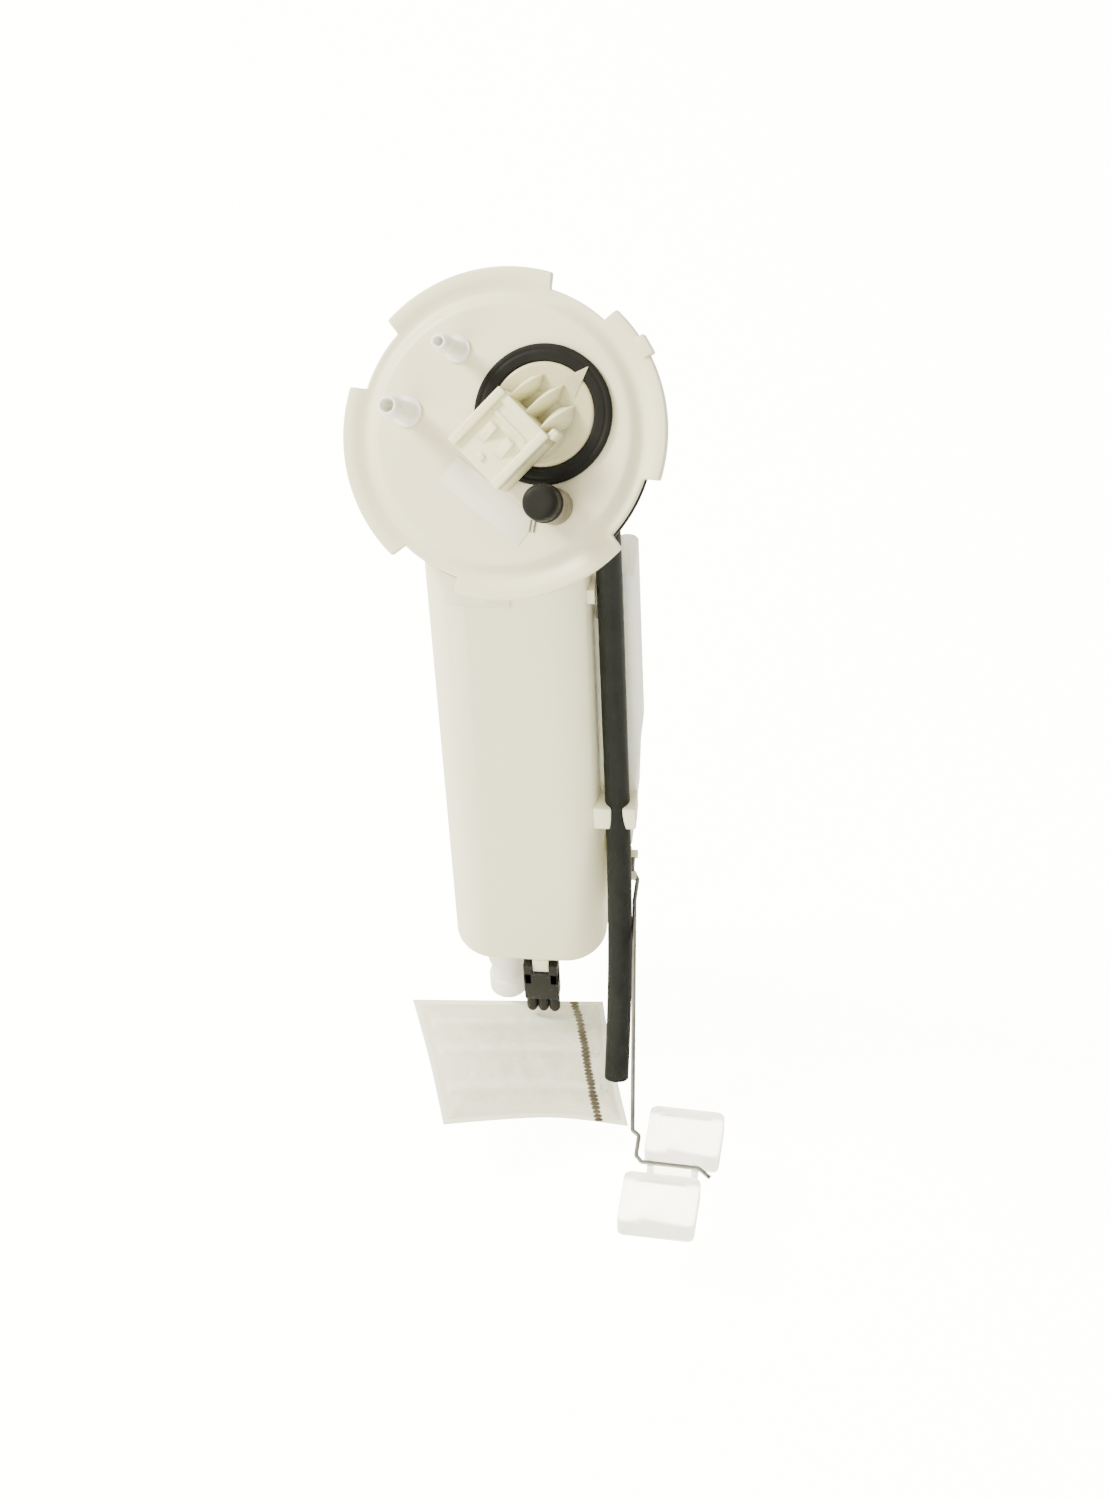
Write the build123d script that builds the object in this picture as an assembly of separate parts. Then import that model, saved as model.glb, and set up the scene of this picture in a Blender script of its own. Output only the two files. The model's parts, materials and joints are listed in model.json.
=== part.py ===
from build123d import *
import math
import os

# All sizes are in millimetres. The origin is the centre of the flange's seat plane, +Z runs up along
# the reservoir's axis and -Y is the side that the strainer and the float reach out to.

# ---- Tank flange -------------------------------------------------------------------------------
FLANGE_TILT = 45.0           # degrees between the flange's normal and the reservoir's axis
FLANGE_YAW = 11.6            # degrees that the normal is turned from -Y towards -X
RIM_REACH = 10.0             # of the rim past the spigot
RIM_TOP = 4.0                # rim height above the seat plane
RIM_EDGE = 1.0               # height of the eased outer corner
DISC_INSET = 3.3             # of the raised middle's edge from the spigot's outside
DISC_TOP = 5.2
DISC_WALL = 3.0
DISC_STEP = 0.5
GROOVE_REACH = 0.6           # of the groove's middle past the spigot
GROOVE_TOP = 2.4
SPIGOT_RADIUS = 55.0         # skirt that enters the tank's opening
SPIGOT_WALL = 2.4
SPIGOT_DEPTH = 12.0
NOTCH_DEPTH = 6.2            # from the rim's edge to the floor of each locking notch
NOTCH_FLOOR_ANGLE = 24.0
NOTCH_MOUTH_ANGLE = 27.0
NOTCH_CORNER = 1.6
NOTCH_START = 70.0
NOTCH_COUNT = 4
KEY_ANGLE = 40.7
KEY_WIDTH = 10.0
KEY_REACH = 2.6
KEY_LENGTH = 7.0
KEY_RISE = 1.4
COVER_RIB_COUNT = 12
COVER_RIB_THICKNESS = 1.8
COVER_RIB_DEPTH = 7.0

# ---- Seal under the rim ------------------------------------------------------------------------
SEAL_SECTION = 4.2
SEAL_HEIGHT = 3.6
SEAL_CLEARANCE = 0.2
SEAL_RECESS = 0.4            # depth of the seal's seat in the rim's underside
SEAL_EASE = 1.2

# ---- Pipes on the cover ------------------------------------------------------------------------
PIPE_HEIGHT = 28.0
PIPE_BEAD_RISE = 0.9
PIPE_BEAD_LENGTH = 2.2
PIPE_BEAD_DROP = 7.0         # from the pipe's tip to the bead
PIPE_TIP_CHAMFER = 0.8
PIPE_WALL = 1.3
PIPE_FOOT_RISE = 1.2
PIPE_FOOT_MARGIN = 2.2
FEED_RADIUS = 3.97
FEED_PLACE = (-39.3, 1.7)    # along the flange plane
RETURN_RADIUS = 3.18
RETURN_PLACE = (-23.7, 29.0)
GALLERY_RADIUS = 4.6
GALLERY_BORE = 2.5
GALLERY_DROP = 5.8           # from the cover's underside to the gallery's axis
STUB_RADIUS = 4.0
STUB_LENGTH = 16.0
FEED_STUB = (-15.0, 13.0)    # across the reservoir
HOSE_STUB_LENGTH = 26.0

# ---- Capped auxiliary port ---------------------------------------------------------------------
VENT_PLACE = (26.2, -24.5)
VENT_TUBE_RADIUS = 4.4
VENT_BORE = 2.5
VENT_SLEEVE_RADIUS = 7.2
VENT_SLEEVE_HEIGHT = 16.5
VENT_CAP_RADIUS = 7.6
VENT_CAP_HEIGHT = 9.6
VENT_CAP_GRIP = 7.0
VENT_CAP_FIT = 0.06

# ---- Electrical connector ----------------------------------------------------------------------
SOCKET_PLACE = (15.1, 9.7)
SOCKET_TURN = 55.0           # direction of the closed back of the socket
GROMMET_RADIUS = 27.5
GROMMET_BORE = 20.5
GROMMET_NECK = 23.6
GROMMET_LIP = 2.2
GROMMET_UNDER_RADIUS = 26.4
GROMMET_CLEARANCE = 0.3
PLUG_DISC_TOP = 1.9          # above the raised middle of the cover
PLUG_DISC_FLOOR = 5.0
ARROW_REACH = 25.7
ARROW_WIDTH = 12.0
ARROW_THICKNESS = 1.4
SOCKET_MOUTH = 31.5          # from the grommet's centre to the open end
SOCKET_BACK = 3.0
SOCKET_WIDTH = 28.0
SOCKET_HEIGHT = 14.0
SOCKET_WALL = 2.0
SOCKET_BACK_WALL = 3.2
SOCKET_FLOOR = 3.2           # underside above the raised middle of the cover
PEDESTAL_RADIUS = 13.0
RAIL_WIDTH = 2.5
RAIL_RISE = 1.6
LATCH_LENGTH = 7.5
LATCH_WIDTH = 5.0
LATCH_RISE = 3.0
GUSSET_THICKNESS = 2.6
GUSSET_REACH = 15.0
GUSSET_SPACING = 8.6
TERMINAL_COUNT = 4
TERMINAL_PITCH = 5.2
TERMINAL_WIDTH = 2.3
TERMINAL_THICKNESS = 0.8
TERMINAL_REACH = 17.0
TERMINAL_TAIL = 7.0

# ---- Bare label --------------------------------------------------------------------------------
LABEL_LENGTH = 41.0
LABEL_WIDTH = 12.6
LABEL_THICKNESS = 0.2
LABEL_CORNER = (-21.7, -23.1)
LABEL_TURN = -27.5

# ---- Reservoir ---------------------------------------------------------------------------------
RESERVOIR_WIDTH = 66.5
RESERVOIR_DEPTH = 66.0
RESERVOIR_CORNER = 18.0
RESERVOIR_CENTRE = (-1.3, 7.0)
RESERVOIR_BOTTOM = -286.5
RESERVOIR_WALL = 2.0
RESERVOIR_FLOOR = 2.6
RESERVOIR_BOTTOM_ROUND = 7.0
FRONT_WINDOW_LEFT = -24.5    # the long window that shows the collar
FRONT_TAB = (-3.6, -64.8)    # x and z
SIDE_TAB = (-9.5, -72.0)     # y and z
REAR_TAB = (-1.3, -40.0)     # x and z
TAB_WIDTH = 10.0
TAB_HEIGHT = 7.2
TAB_RISE = 0.7               # past the reservoir's wall
SIDE_TAB_RISE = 1.8
SHELF_DEPTH = 3.0
SHELF_HEIGHT = 3.0

# ---- Collar between the cover and the reservoir ------------------------------------------------
COLLAR_WALL = 1.8
COLLAR_CLEARANCE = 0.25
COLLAR_PLATE = 2.4
COLLAR_END = -76.0           # level lower edge of its sleeve
COLLAR_RING_WALL = 2.4
COLLAR_RING_RISE = 8.0
COLLAR_RING_CLEARANCE = 0.3
COLLAR_PLATE_INSET = 0.7
WINDOW_CLEARANCE = 0.4

# ---- Pump --------------------------------------------------------------------------------------
PUMP_PLACE = (-8.0, 0.5)
PUMP_RADIUS = 19.0
PUMP_CASE_WALL = 1.4
PUMP_BASE = -274.5
PUMP_CASE_LENGTH = 96.0
CRIMP = 1.2
INLET_COVER_THICKNESS = 8.0
IMPELLER_RADIUS = 14.5
IMPELLER_THICKNESS = 3.2
IMPELLER_GAP = 0.25
BLADE_COUNT = 24
BLADE_DEPTH = 2.6
CHANNEL_RADIUS = 13.2
CHANNEL_SECTION = 1.5
PUMP_PLATE_THICKNESS = 8.0
OUTLET_COVER_THICKNESS = 14.0
SHAFT_RADIUS = 2.5
BEARING_FIT = 0.05
ARMATURE_RADIUS = 12.0
ARMATURE_LENGTH = 40.0
ARMATURE_SLOTS = 8
COMMUTATOR_RADIUS = 7.5
COMMUTATOR_LENGTH = 7.0
MAGNET_GAP = 0.6
MAGNET_ANGLE = 130.0
BRUSH_SIDE = 4.4
BRUSH_FLOOR = 0.6
BRUSH_LENGTH = 7.0
INLET_OFFSET = (-5.5, -8.8)
INLET_RADIUS = 5.5
INLET_BORE = 3.6
INLET_LENGTH = 22.0
OUTLET_OFFSET = (6.0, 8.0)
OUTLET_RADIUS = 4.0
OUTLET_LENGTH = 18.0
ISOLATOR_WALL = 3.0
ISOLATOR_HEIGHT = 16.0
ISOLATOR_LIP = 2.4
RETAINER_THICKNESS = 2.4
RETAINER_CLEARANCE = 0.3
RETURN_TUBE_END = -255.0
TUBE_WALL = 1.2
TUBE_FIT = 0.05

# ---- Strainer ----------------------------------------------------------------------------------
SOCK_WIDTH = 87.4
SOCK_LENGTH = 71.4
SOCK_THICKNESS = 8.0
SOCK_YAW = 14.1              # degrees about the reservoir's axis
SOCK_ROLL = 12.6             # degrees that its right side hangs lower
SOCK_DOCK = (-15.0, -19.5, -322.0)   # where the neck enters its edge
SOCK_DOCK_OFFSET = -4.2      # of that place from the edge's middle
SOCK_MESH = 0.8
SOCK_BEVEL = 9.0
SOCK_CORNER = 3.0
FRAME_RIB = 2.0
FRAME_THICKNESS = 3.0
FRAME_RIB_PLACES = (13.0, 29.0, 51.0)   # from the edge by the neck
FRAME_MARGIN = 4.0
NECK_RADIUS = 8.4
NECK_TOP = -291.0
NECK_STEP = 1.2
NECK_DUCT_WIDTH = 15.0
NECK_DUCT_HEIGHT = 5.0
NECK_DUCT_REACH = 8.0
GROMMET_FLANGE = 2.4
CLIP_PLACE = (3.6, -21.5)
CLIP_WIDTH = 15.4
CLIP_DEPTH = 8.0
CLIP_HEIGHT = 26.0
CLIP_FINGER_COUNT = 3
CLIP_FINGER_RADIUS = 2.3
CLIP_FINGER_LENGTH = 9.0
CLIP_EAR = 4.2
VALVE_PLACE = (14.5, 24.0)
VALVE_RADIUS = 8.0
VALVE_STEM = 2.0
VALVE_PORT = 1.3
VALVE_PORT_COUNT = 6

# ---- Auxiliary hose ----------------------------------------------------------------------------
HOSE_RADIUS = 4.8
HOSE_BORE = 3.2
HOSE_STUB_FIT = 0.05
HOSE_CLEARANCE = 0.4
HOSE_PLACE = (39.4, -8.0)
HOSE_ROUTE = (
    (39.4, -8.0, -22.0),
    (39.4, -8.0, -78.0),
    (39.2, -8.4, -136.0),
    (39.4, -11.2, -190.0),
    (40.1, -22.0, -238.0),
    (40.6, -40.5, -284.0),
    (39.4, -60.0, -324.0),
)
HOSE_CLIP_HEIGHT = 13.5
HOSE_CLIP_TOP = -191.0
HOSE_CLIP_WALL = 1.7
HOSE_CLIP_MOUTH = 70.0       # degrees left open

# ---- Level sender ------------------------------------------------------------------------------
BRACKET_INNER = 40.2         # side that faces the reservoir
BRACKET_WIDTH = 8.4
BRACKET_FRONT = -2.4
BRACKET_DEPTH = 24.0
BRACKET_TOP = -70.0
BRACKET_END = -233.5
BRACKET_WALL = 1.6
BRACKET_TOP_ROUND = 3.5
BRACKET_RIB_COUNT = 6
LUG_WIDTH = 12.0
LUG_HEIGHT = 9.0
LUG_PLACES = (-96.0, -214.0)
PIVOT = (-3.0, -243.4)       # y and z of the arm's axis
PIN_RADIUS = 2.5
PIN_FIT = 0.05
PIN_HEAD_RADIUS = 3.2
PIN_HEAD_THICKNESS = 1.0
BODY_THICKNESS = 3.8
BODY_FRONT = -12.0
BODY_BACK = 19.0
BODY_TOP = -227.0
BODY_END = -262.0
BODY_CORNER = 4.0
CARD_THICKNESS = 0.6
CARD_DEPTH = 14.0
CARD_HEIGHT = 26.0
WIPER_THICKNESS = 0.3
WIPER_WIDTH = 4.0
WIPER_REACH = 14.0
HUB_RADIUS = 7.6
HUB_THICKNESS = 2.8
HUB_GAP = 0.4
WIRE_RADIUS = 0.95
WIRE_LIFT = 4.5              # of the wire's line above the pivot
WIRE_FIT = 0.02
ARM_SLOPE = 32.6             # degrees below level at rest
WIRE_SPLAY_START = (46.7, -10.8, -243.0)
WIRE_SHANK_START = (45.9, -18.8, -248.2)
WIRE_SHANK_END = (50.8, -102.5, -301.8)
WIRE_JOG = (53.7, -104.2, -302.9)
WIRE_JOG_END = (52.9, -111.4, -307.5)
WIRE_CROSS_START = (55.4, -113.6, -309.0)
FLOAT_CENTRE = (67.0, -114.2, -309.3)
FLOAT_YAW = -3.0             # degrees of the crosspiece from +X
CROSS_END = 12.8             # past the float's centre
HOOK_END = (85.1, -118.0, -311.9)
WIRE_BEND = 1.5

# ---- Float -------------------------------------------------------------------------------------
FLOAT_THICKNESS = 11.5
FLOAT_WALL = 1.4
FLOAT_LID = 1.4
FLOAT_ROUND = 2.4
FLOAT_AXIS_DROP = 2.2        # of the wire below the float's top
NEAR_LENGTH = 24.5
NEAR_LEFT = -19.2
NEAR_RIGHT = 12.4
NEAR_GAP = 6.0
FAR_LENGTH = 29.0
FAR_LEFT = -9.2
FAR_RIGHT = 22.2
FAR_GAP = 1.4
PANEL_MARGIN = 5.0
PANEL_DEPTH = 0.8
FLOAT_WEB = 2.0
SLEEVE_LENGTH = 4.0
SLEEVE_WALL = 1.2
SWIVEL_FIT = 0.08

# ---- Worked-out places -------------------------------------------------------------------------
tilt = math.radians(FLANGE_TILT)
yaw = math.radians(FLANGE_YAW)
FLANGE_NORMAL = Vector(-math.sin(yaw) * math.sin(tilt), -math.cos(yaw) * math.sin(tilt), math.cos(tilt))
FLANGE_RIGHT = Vector(math.cos(yaw), -math.sin(yaw), 0)
FLANGE = Plane(origin=(0, 0, 0), x_dir=FLANGE_RIGHT, z_dir=FLANGE_NORMAL)
FAR = 400.0                  # longer than any piece

BOTTOM = (Align.CENTER, Align.CENTER, Align.MIN)
TOP = (Align.CENTER, Align.CENTER, Align.MAX)
CORNER = (Align.MIN, Align.MIN, Align.MIN)

UNDERSIDE = DISC_TOP - DISC_WALL
FLANGE_RADIUS = SPIGOT_RADIUS + RIM_REACH
NOTCH_RADIUS = FLANGE_RADIUS - NOTCH_DEPTH
DISC_RADIUS = SPIGOT_RADIUS - DISC_INSET
GROOVE_RADIUS = SPIGOT_RADIUS + GROOVE_REACH
COLLAR_TOP = -SPIGOT_DEPTH
RESERVOIR_TOP = COLLAR_TOP - COLLAR_PLATE
RESERVOIR_RIGHT = RESERVOIR_CENTRE[0] + RESERVOIR_WIDTH / 2
RESERVOIR_FRONT = RESERVOIR_CENTRE[1] - RESERVOIR_DEPTH / 2
SOCKET_BASE = DISC_TOP + SOCKET_FLOOR
PUMP_TOP = PUMP_BASE + PUMP_CASE_LENGTH
PIN_ROOT = BRACKET_INNER - CARD_THICKNESS - 0.4
HUB_FACE = PIN_ROOT + CARD_THICKNESS + HUB_GAP + WIPER_THICKNESS


# ---- Helpers -----------------------------------------------------------------------------------
def on_flange(shape):
    """Moves a shape from the flange's own axes to the model's."""
    return FLANGE.location * shape


def above_flange(height):
    """Everything on the upper side of the plane at this height over the seat."""
    return on_flange(Pos(0, 0, height) * Box(FAR, FAR, FAR, align=BOTTOM))


def flange_height(x, y, height):
    """The model's z where a vertical line meets a plane parallel to the seat."""
    return (height - FLANGE_NORMAL.X * x - FLANGE_NORMAL.Y * y) / FLANGE_NORMAL.Z


def flange_place(x, y, height):
    """Where a vertical line meets such a plane, along the flange's own axes."""
    point = FLANGE.to_local_coords(Vector(x, y, flange_height(x, y, height)))
    return point.X, point.Y


def ring(outer, inner, low, high):
    """A flat-ended ring about Z."""
    blank = Pos(0, 0, low) * Cylinder(outer, high - low, align=BOTTOM)
    return blank - Pos(0, 0, low) * Cylinder(inner, high - low, align=BOTTOM)


def spun(points):
    """A solid of revolution about Z from radius and height pairs."""
    return revolve(Plane.XZ * make_face(Polyline(*points, close=True)), Axis.Z)


def rod(start, end, radius):
    """A round bar between two points."""
    path = Line(start, end)
    return sweep(Plane(origin=start, z_dir=path % 0) * Circle(radius), path=path)


def tube_along(path, outer, inner=0.0):
    """A round tube or bar along a path."""
    plane = Plane(origin=path @ 0, z_dir=path % 0)
    solid = sweep(plane * Circle(outer), path=path)
    if inner > 0:
        solid = solid - sweep(plane * Circle(inner), path=path)
    return solid


def route(points, radii):
    """Straight runs joined by tangent arcs."""
    return FilletPolyline(*points, radius=radii)


def soft_radii(points):
    """The largest arc that each corner's two runs allow."""
    radii = []
    for before, corner, after in zip(points, points[1:], points[2:]):
        into = Vector(*corner) - Vector(*before)
        out = Vector(*after) - Vector(*corner)
        turn = math.radians(into.get_angle(out))
        radii.append(0.45 * min(into.length, out.length) / math.tan(turn / 2))
    return radii


def reservoir_outline(grow):
    """The reservoir's outline across its axis, grown or shrunk evenly."""
    width = RESERVOIR_WIDTH + 2 * grow
    depth = RESERVOIR_DEPTH + 2 * grow
    return Pos(*RESERVOIR_CENTRE) * RectangleRounded(width, depth, RESERVOIR_CORNER + grow)


def reservoir_prism(grow, low, height):
    """A column with the reservoir's outline."""
    return Pos(0, 0, low) * extrude(reservoir_outline(grow), amount=height)


def save(name, shape):
    """Writes one node."""
    solids = shape.solids()
    if len(solids) == 1:
        result = solids[0]
    else:
        result = Compound(children=list(solids))
    export_step(result, f"parts/{name}.step")
    print(f"{name}: {len(solids)} solid(s), {sum(s.volume for s in solids) / 1000:.2f} cm3")


# ---- Tank flange -------------------------------------------------------------------------------
def flange_blank():
    """The cover's turned form: raised middle, groove, rim with the seal's seat, and spigot."""
    inner = SPIGOT_RADIUS - SPIGOT_WALL
    seal_seat = SPIGOT_RADIUS + SEAL_SECTION + 2 * SEAL_CLEARANCE
    return spun([
        (0, DISC_TOP),
        (DISC_RADIUS, DISC_TOP),
        (DISC_RADIUS + DISC_STEP, GROOVE_TOP + DISC_STEP),
        (GROOVE_RADIUS, GROOVE_TOP),
        (FLANGE_RADIUS - 3 * RIM_EDGE, RIM_TOP),
        (FLANGE_RADIUS - RIM_EDGE / 2, RIM_TOP),
        (FLANGE_RADIUS, RIM_TOP - RIM_EDGE),
        (FLANGE_RADIUS, 0),
        (seal_seat, 0),
        (seal_seat, SEAL_RECESS),
        (SPIGOT_RADIUS, SEAL_RECESS),
        (SPIGOT_RADIUS, -SPIGOT_DEPTH),
        (inner, -SPIGOT_DEPTH),
        (inner, UNDERSIDE),
        (0, UNDERSIDE),
    ])


def notch():
    """The cutter of one locking notch, along the flange's X."""
    far = FLANGE_RADIUS + 10
    half_floor = math.radians(NOTCH_FLOOR_ANGLE / 2)
    half_mouth = math.radians(NOTCH_MOUTH_ANGLE / 2)
    floor_y = NOTCH_RADIUS * math.sin(half_floor)
    mouth_y = FLANGE_RADIUS * math.sin(half_mouth)
    slope = (mouth_y - floor_y) / (FLANGE_RADIUS - NOTCH_RADIUS)
    near = NOTCH_RADIUS * math.cos(half_floor)
    wedge = make_face(Polyline(
        (near, -floor_y), (far, -floor_y - slope * (far - near)),
        (far, floor_y + slope * (far - near)), (near, floor_y), close=True,
    ))
    cutter = wedge - Circle(NOTCH_RADIUS)
    corners = cutter.vertices().sort_by(Axis.X)[:2]
    cutter = fillet(corners, NOTCH_CORNER)
    return Pos(0, 0, -RIM_TOP) * extrude(cutter, amount=4 * RIM_TOP)


def key_block():
    """The raised key on the rim's edge."""
    length = KEY_LENGTH
    block = Box(length, KEY_WIDTH, RIM_TOP + KEY_RISE, align=(Align.MAX, Align.CENTER, Align.MIN))
    return Rot(0, 0, KEY_ANGLE) * Pos(FLANGE_RADIUS + KEY_REACH, 0, 0) * block


def gallery(start, end):
    """A round-bottomed channel under the cover, joined to it by a web."""
    axis_height = UNDERSIDE - GALLERY_DROP
    span = math.dist(start, end)
    turn = math.degrees(math.atan2(end[1] - start[1], end[0] - start[0]))
    bar = Rot(0, 90, 0) * Cylinder(GALLERY_RADIUS, span, align=BOTTOM)
    ends = Sphere(GALLERY_RADIUS) + Pos(span, 0, 0) * Sphere(GALLERY_RADIUS)
    web = Pos(span / 2, 0, 0) * Box(span, 2 * GALLERY_RADIUS, GALLERY_DROP, align=BOTTOM)
    posts = Cylinder(GALLERY_RADIUS, GALLERY_DROP, align=BOTTOM)
    posts += Pos(span, 0, 0) * Cylinder(GALLERY_RADIUS, GALLERY_DROP, align=BOTTOM)
    place = Pos(start[0], start[1], axis_height) * Rot(0, 0, turn)
    return place * (bar + ends + web + posts)


def gallery_bore(start, end):
    """The passage inside such a channel."""
    axis_height = UNDERSIDE - GALLERY_DROP
    return rod((start[0], start[1], axis_height), (end[0], end[1], axis_height), GALLERY_BORE)


def down_stub(place, length, radius):
    """A round stub that hangs straight down from the cover's underside at an (x, y) place."""
    top = flange_height(place[0], place[1], UNDERSIDE - GALLERY_DROP)
    return Pos(place[0], place[1], top) * Cylinder(radius, length, align=TOP)


def cover_ribs():
    """Radial stiffeners between the cover's middle and its spigot."""
    inner = SPIGOT_RADIUS - SPIGOT_WALL
    ribs = Part()
    for index in range(COVER_RIB_COUNT // 2):
        blade = Box(2 * inner + 1, COVER_RIB_THICKNESS, COVER_RIB_DEPTH, align=TOP)
        ribs += Pos(0, 0, UNDERSIDE + 0.5) * Rot(0, 0, 360 / COVER_RIB_COUNT * (index + 0.5)) * blade
    socket = Pos(SOCKET_PLACE[0], SOCKET_PLACE[1], 0)
    ribs -= socket * Cylinder(GROMMET_UNDER_RADIUS + 2, FAR)
    ring_inner = inner - COLLAR_RING_CLEARANCE - COLLAR_RING_WALL - 0.6
    ribs -= ring(inner + 5, ring_inner, -FAR, COLLAR_TOP + COLLAR_RING_RISE + 0.6)
    return ribs


def flange_cover():
    """The moulded cover that closes the tank's opening."""
    hose_place = flange_place(HOSE_PLACE[0], HOSE_PLACE[1], UNDERSIDE - GALLERY_DROP)
    feed_end = flange_place(FEED_STUB[0], FEED_STUB[1], UNDERSIDE - GALLERY_DROP)
    cover = flange_blank()
    cover += key_block()
    for index in range(NOTCH_COUNT):
        cover -= Rot(0, 0, NOTCH_START + 360 / NOTCH_COUNT * index) * notch()
    cover += cover_ribs()
    cover += gallery(FEED_PLACE, feed_end)
    cover += gallery(VENT_PLACE, hose_place)
    elbow = Pos(*RETURN_PLACE, UNDERSIDE - GALLERY_DROP)
    cover += elbow * Cylinder(GALLERY_RADIUS, GALLERY_DROP, align=BOTTOM)
    cover += elbow * Sphere(GALLERY_RADIUS)
    vent_top = DISC_TOP + VENT_SLEEVE_HEIGHT + VENT_CAP_GRIP - 0.4
    cover += Pos(*VENT_PLACE, DISC_TOP) * Cylinder(VENT_TUBE_RADIUS, vent_top - DISC_TOP, align=BOTTOM)
    cover -= Pos(*SOCKET_PLACE, 0) * Cylinder(GROMMET_NECK, 4 * DISC_TOP)
    pocket = UNDERSIDE - GROMMET_LIP - GROMMET_CLEARANCE
    cover -= Pos(*SOCKET_PLACE, pocket) * Cylinder(
        GROMMET_UNDER_RADIUS + GROMMET_CLEARANCE, UNDERSIDE - pocket, align=BOTTOM)
    cover = on_flange(cover)
    return_stub = (return_line().X, return_line().Y)
    cover += down_stub(FEED_STUB, STUB_LENGTH, STUB_RADIUS)
    cover += down_stub(return_stub, STUB_LENGTH, STUB_RADIUS)
    cover += down_stub(HOSE_PLACE, HOSE_STUB_LENGTH, HOSE_BORE - HOSE_STUB_FIT)
    passages = gallery_bore(FEED_PLACE, feed_end) + gallery_bore(VENT_PLACE, hose_place)
    passages += Pos(*VENT_PLACE, UNDERSIDE - GALLERY_DROP) * Cylinder(VENT_BORE, FAR, align=BOTTOM)
    for place, radius in ((FEED_PLACE, FEED_RADIUS), (RETURN_PLACE, RETURN_RADIUS)):
        hole = Cylinder(radius - PIPE_WALL, FAR, align=BOTTOM)
        seat = Cylinder(radius, FAR, align=BOTTOM)
        passages += Pos(*place, UNDERSIDE - GALLERY_DROP) * hole
        passages += Pos(*place, UNDERSIDE) * seat
    cover -= on_flange(passages)
    cover -= down_stub(FEED_STUB, STUB_LENGTH, GALLERY_BORE)
    cover -= down_stub(return_stub, STUB_LENGTH, GALLERY_BORE)
    cover -= down_stub(HOSE_PLACE, HOSE_STUB_LENGTH, HOSE_BORE - PIPE_WALL)
    return cover


def flange_seal():
    """The ring squeezed between the rim and the tank."""
    inner = SPIGOT_RADIUS + SEAL_CLEARANCE
    outer = inner + SEAL_SECTION
    body = ring(outer, inner, -SEAL_HEIGHT, SEAL_RECESS)
    return on_flange(chamfer(body.edges().filter_by(GeomType.CIRCLE), SEAL_EASE / 2))


def cover_pipe(place, radius):
    """A pipe stub on the cover, with its bead and its foot."""
    tip = DISC_TOP + PIPE_HEIGHT
    bead = tip - PIPE_BEAD_DROP
    half = PIPE_BEAD_LENGTH / 2
    pipe = spun([
        (radius - PIPE_WALL, UNDERSIDE),
        (radius, UNDERSIDE),
        (radius, DISC_TOP),
        (radius + PIPE_FOOT_MARGIN, DISC_TOP),
        (radius + PIPE_FOOT_MARGIN, DISC_TOP + PIPE_FOOT_RISE),
        (radius + 1.0, DISC_TOP + PIPE_FOOT_RISE),
        (radius, DISC_TOP + 2 * PIPE_FOOT_RISE),
        (radius, bead - half),
        (radius + PIPE_BEAD_RISE, bead),
        (radius, bead + half),
        (radius, tip - PIPE_TIP_CHAMFER),
        (radius - PIPE_TIP_CHAMFER / 2, tip),
        (radius - PIPE_WALL, tip),
    ])
    return on_flange(Pos(*place, 0) * pipe)


# ---- Capped auxiliary port ---------------------------------------------------------------------
def vent_sleeve():
    """The metal collar round the auxiliary port's tube."""
    low = DISC_TOP
    high = DISC_TOP + VENT_SLEEVE_HEIGHT
    lip = 1.2
    body = spun([
        (VENT_TUBE_RADIUS, low),
        (VENT_SLEEVE_RADIUS, low),
        (VENT_SLEEVE_RADIUS, high - 4 * lip),
        (VENT_SLEEVE_RADIUS - lip / 2, high - 3.5 * lip),
        (VENT_SLEEVE_RADIUS - lip / 2, high - 2.5 * lip),
        (VENT_SLEEVE_RADIUS, high - 2 * lip),
        (VENT_SLEEVE_RADIUS, high - lip / 2),
        (VENT_SLEEVE_RADIUS - lip / 2, high),
        (VENT_TUBE_RADIUS, high),
    ])
    return on_flange(Pos(*VENT_PLACE, 0) * body)


def vent_cap():
    """The rubber cap on the auxiliary port."""
    low = DISC_TOP + VENT_SLEEVE_HEIGHT
    high = low + VENT_CAP_HEIGHT
    bore = VENT_TUBE_RADIUS + VENT_CAP_FIT
    cap = spun([
        (bore, low),
        (VENT_CAP_RADIUS, low),
        (VENT_CAP_RADIUS, low + 1.4),
        (VENT_CAP_RADIUS - 0.5, low + 1.9),
        (VENT_CAP_RADIUS - 0.5, high - 1.4),
        (VENT_CAP_RADIUS - 1.9, high),
        (0, high),
        (0, low + VENT_CAP_GRIP),
        (bore, low + VENT_CAP_GRIP),
    ])
    return on_flange(Pos(*VENT_PLACE, 0) * cap)


# ---- Electrical connector ----------------------------------------------------------------------
def on_socket(shape):
    """Places a shape from the connector's axes: X towards its back, Z off the cover."""
    return on_flange(Pos(*SOCKET_PLACE, 0) * Rot(0, 0, SOCKET_TURN) * shape)


def connector_seal():
    """The grooved rubber ring that holds the connector in the cover."""
    top = DISC_TOP + GROMMET_LIP
    ease = 0.7
    return on_socket(spun([
        (GROMMET_BORE, UNDERSIDE - GROMMET_LIP),
        (GROMMET_UNDER_RADIUS, UNDERSIDE - GROMMET_LIP),
        (GROMMET_UNDER_RADIUS, UNDERSIDE),
        (GROMMET_NECK, UNDERSIDE),
        (GROMMET_NECK, DISC_TOP),
        (GROMMET_RADIUS, DISC_TOP),
        (GROMMET_RADIUS, top - ease),
        (GROMMET_RADIUS - ease, top),
        (GROMMET_BORE, top),
    ]))


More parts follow.
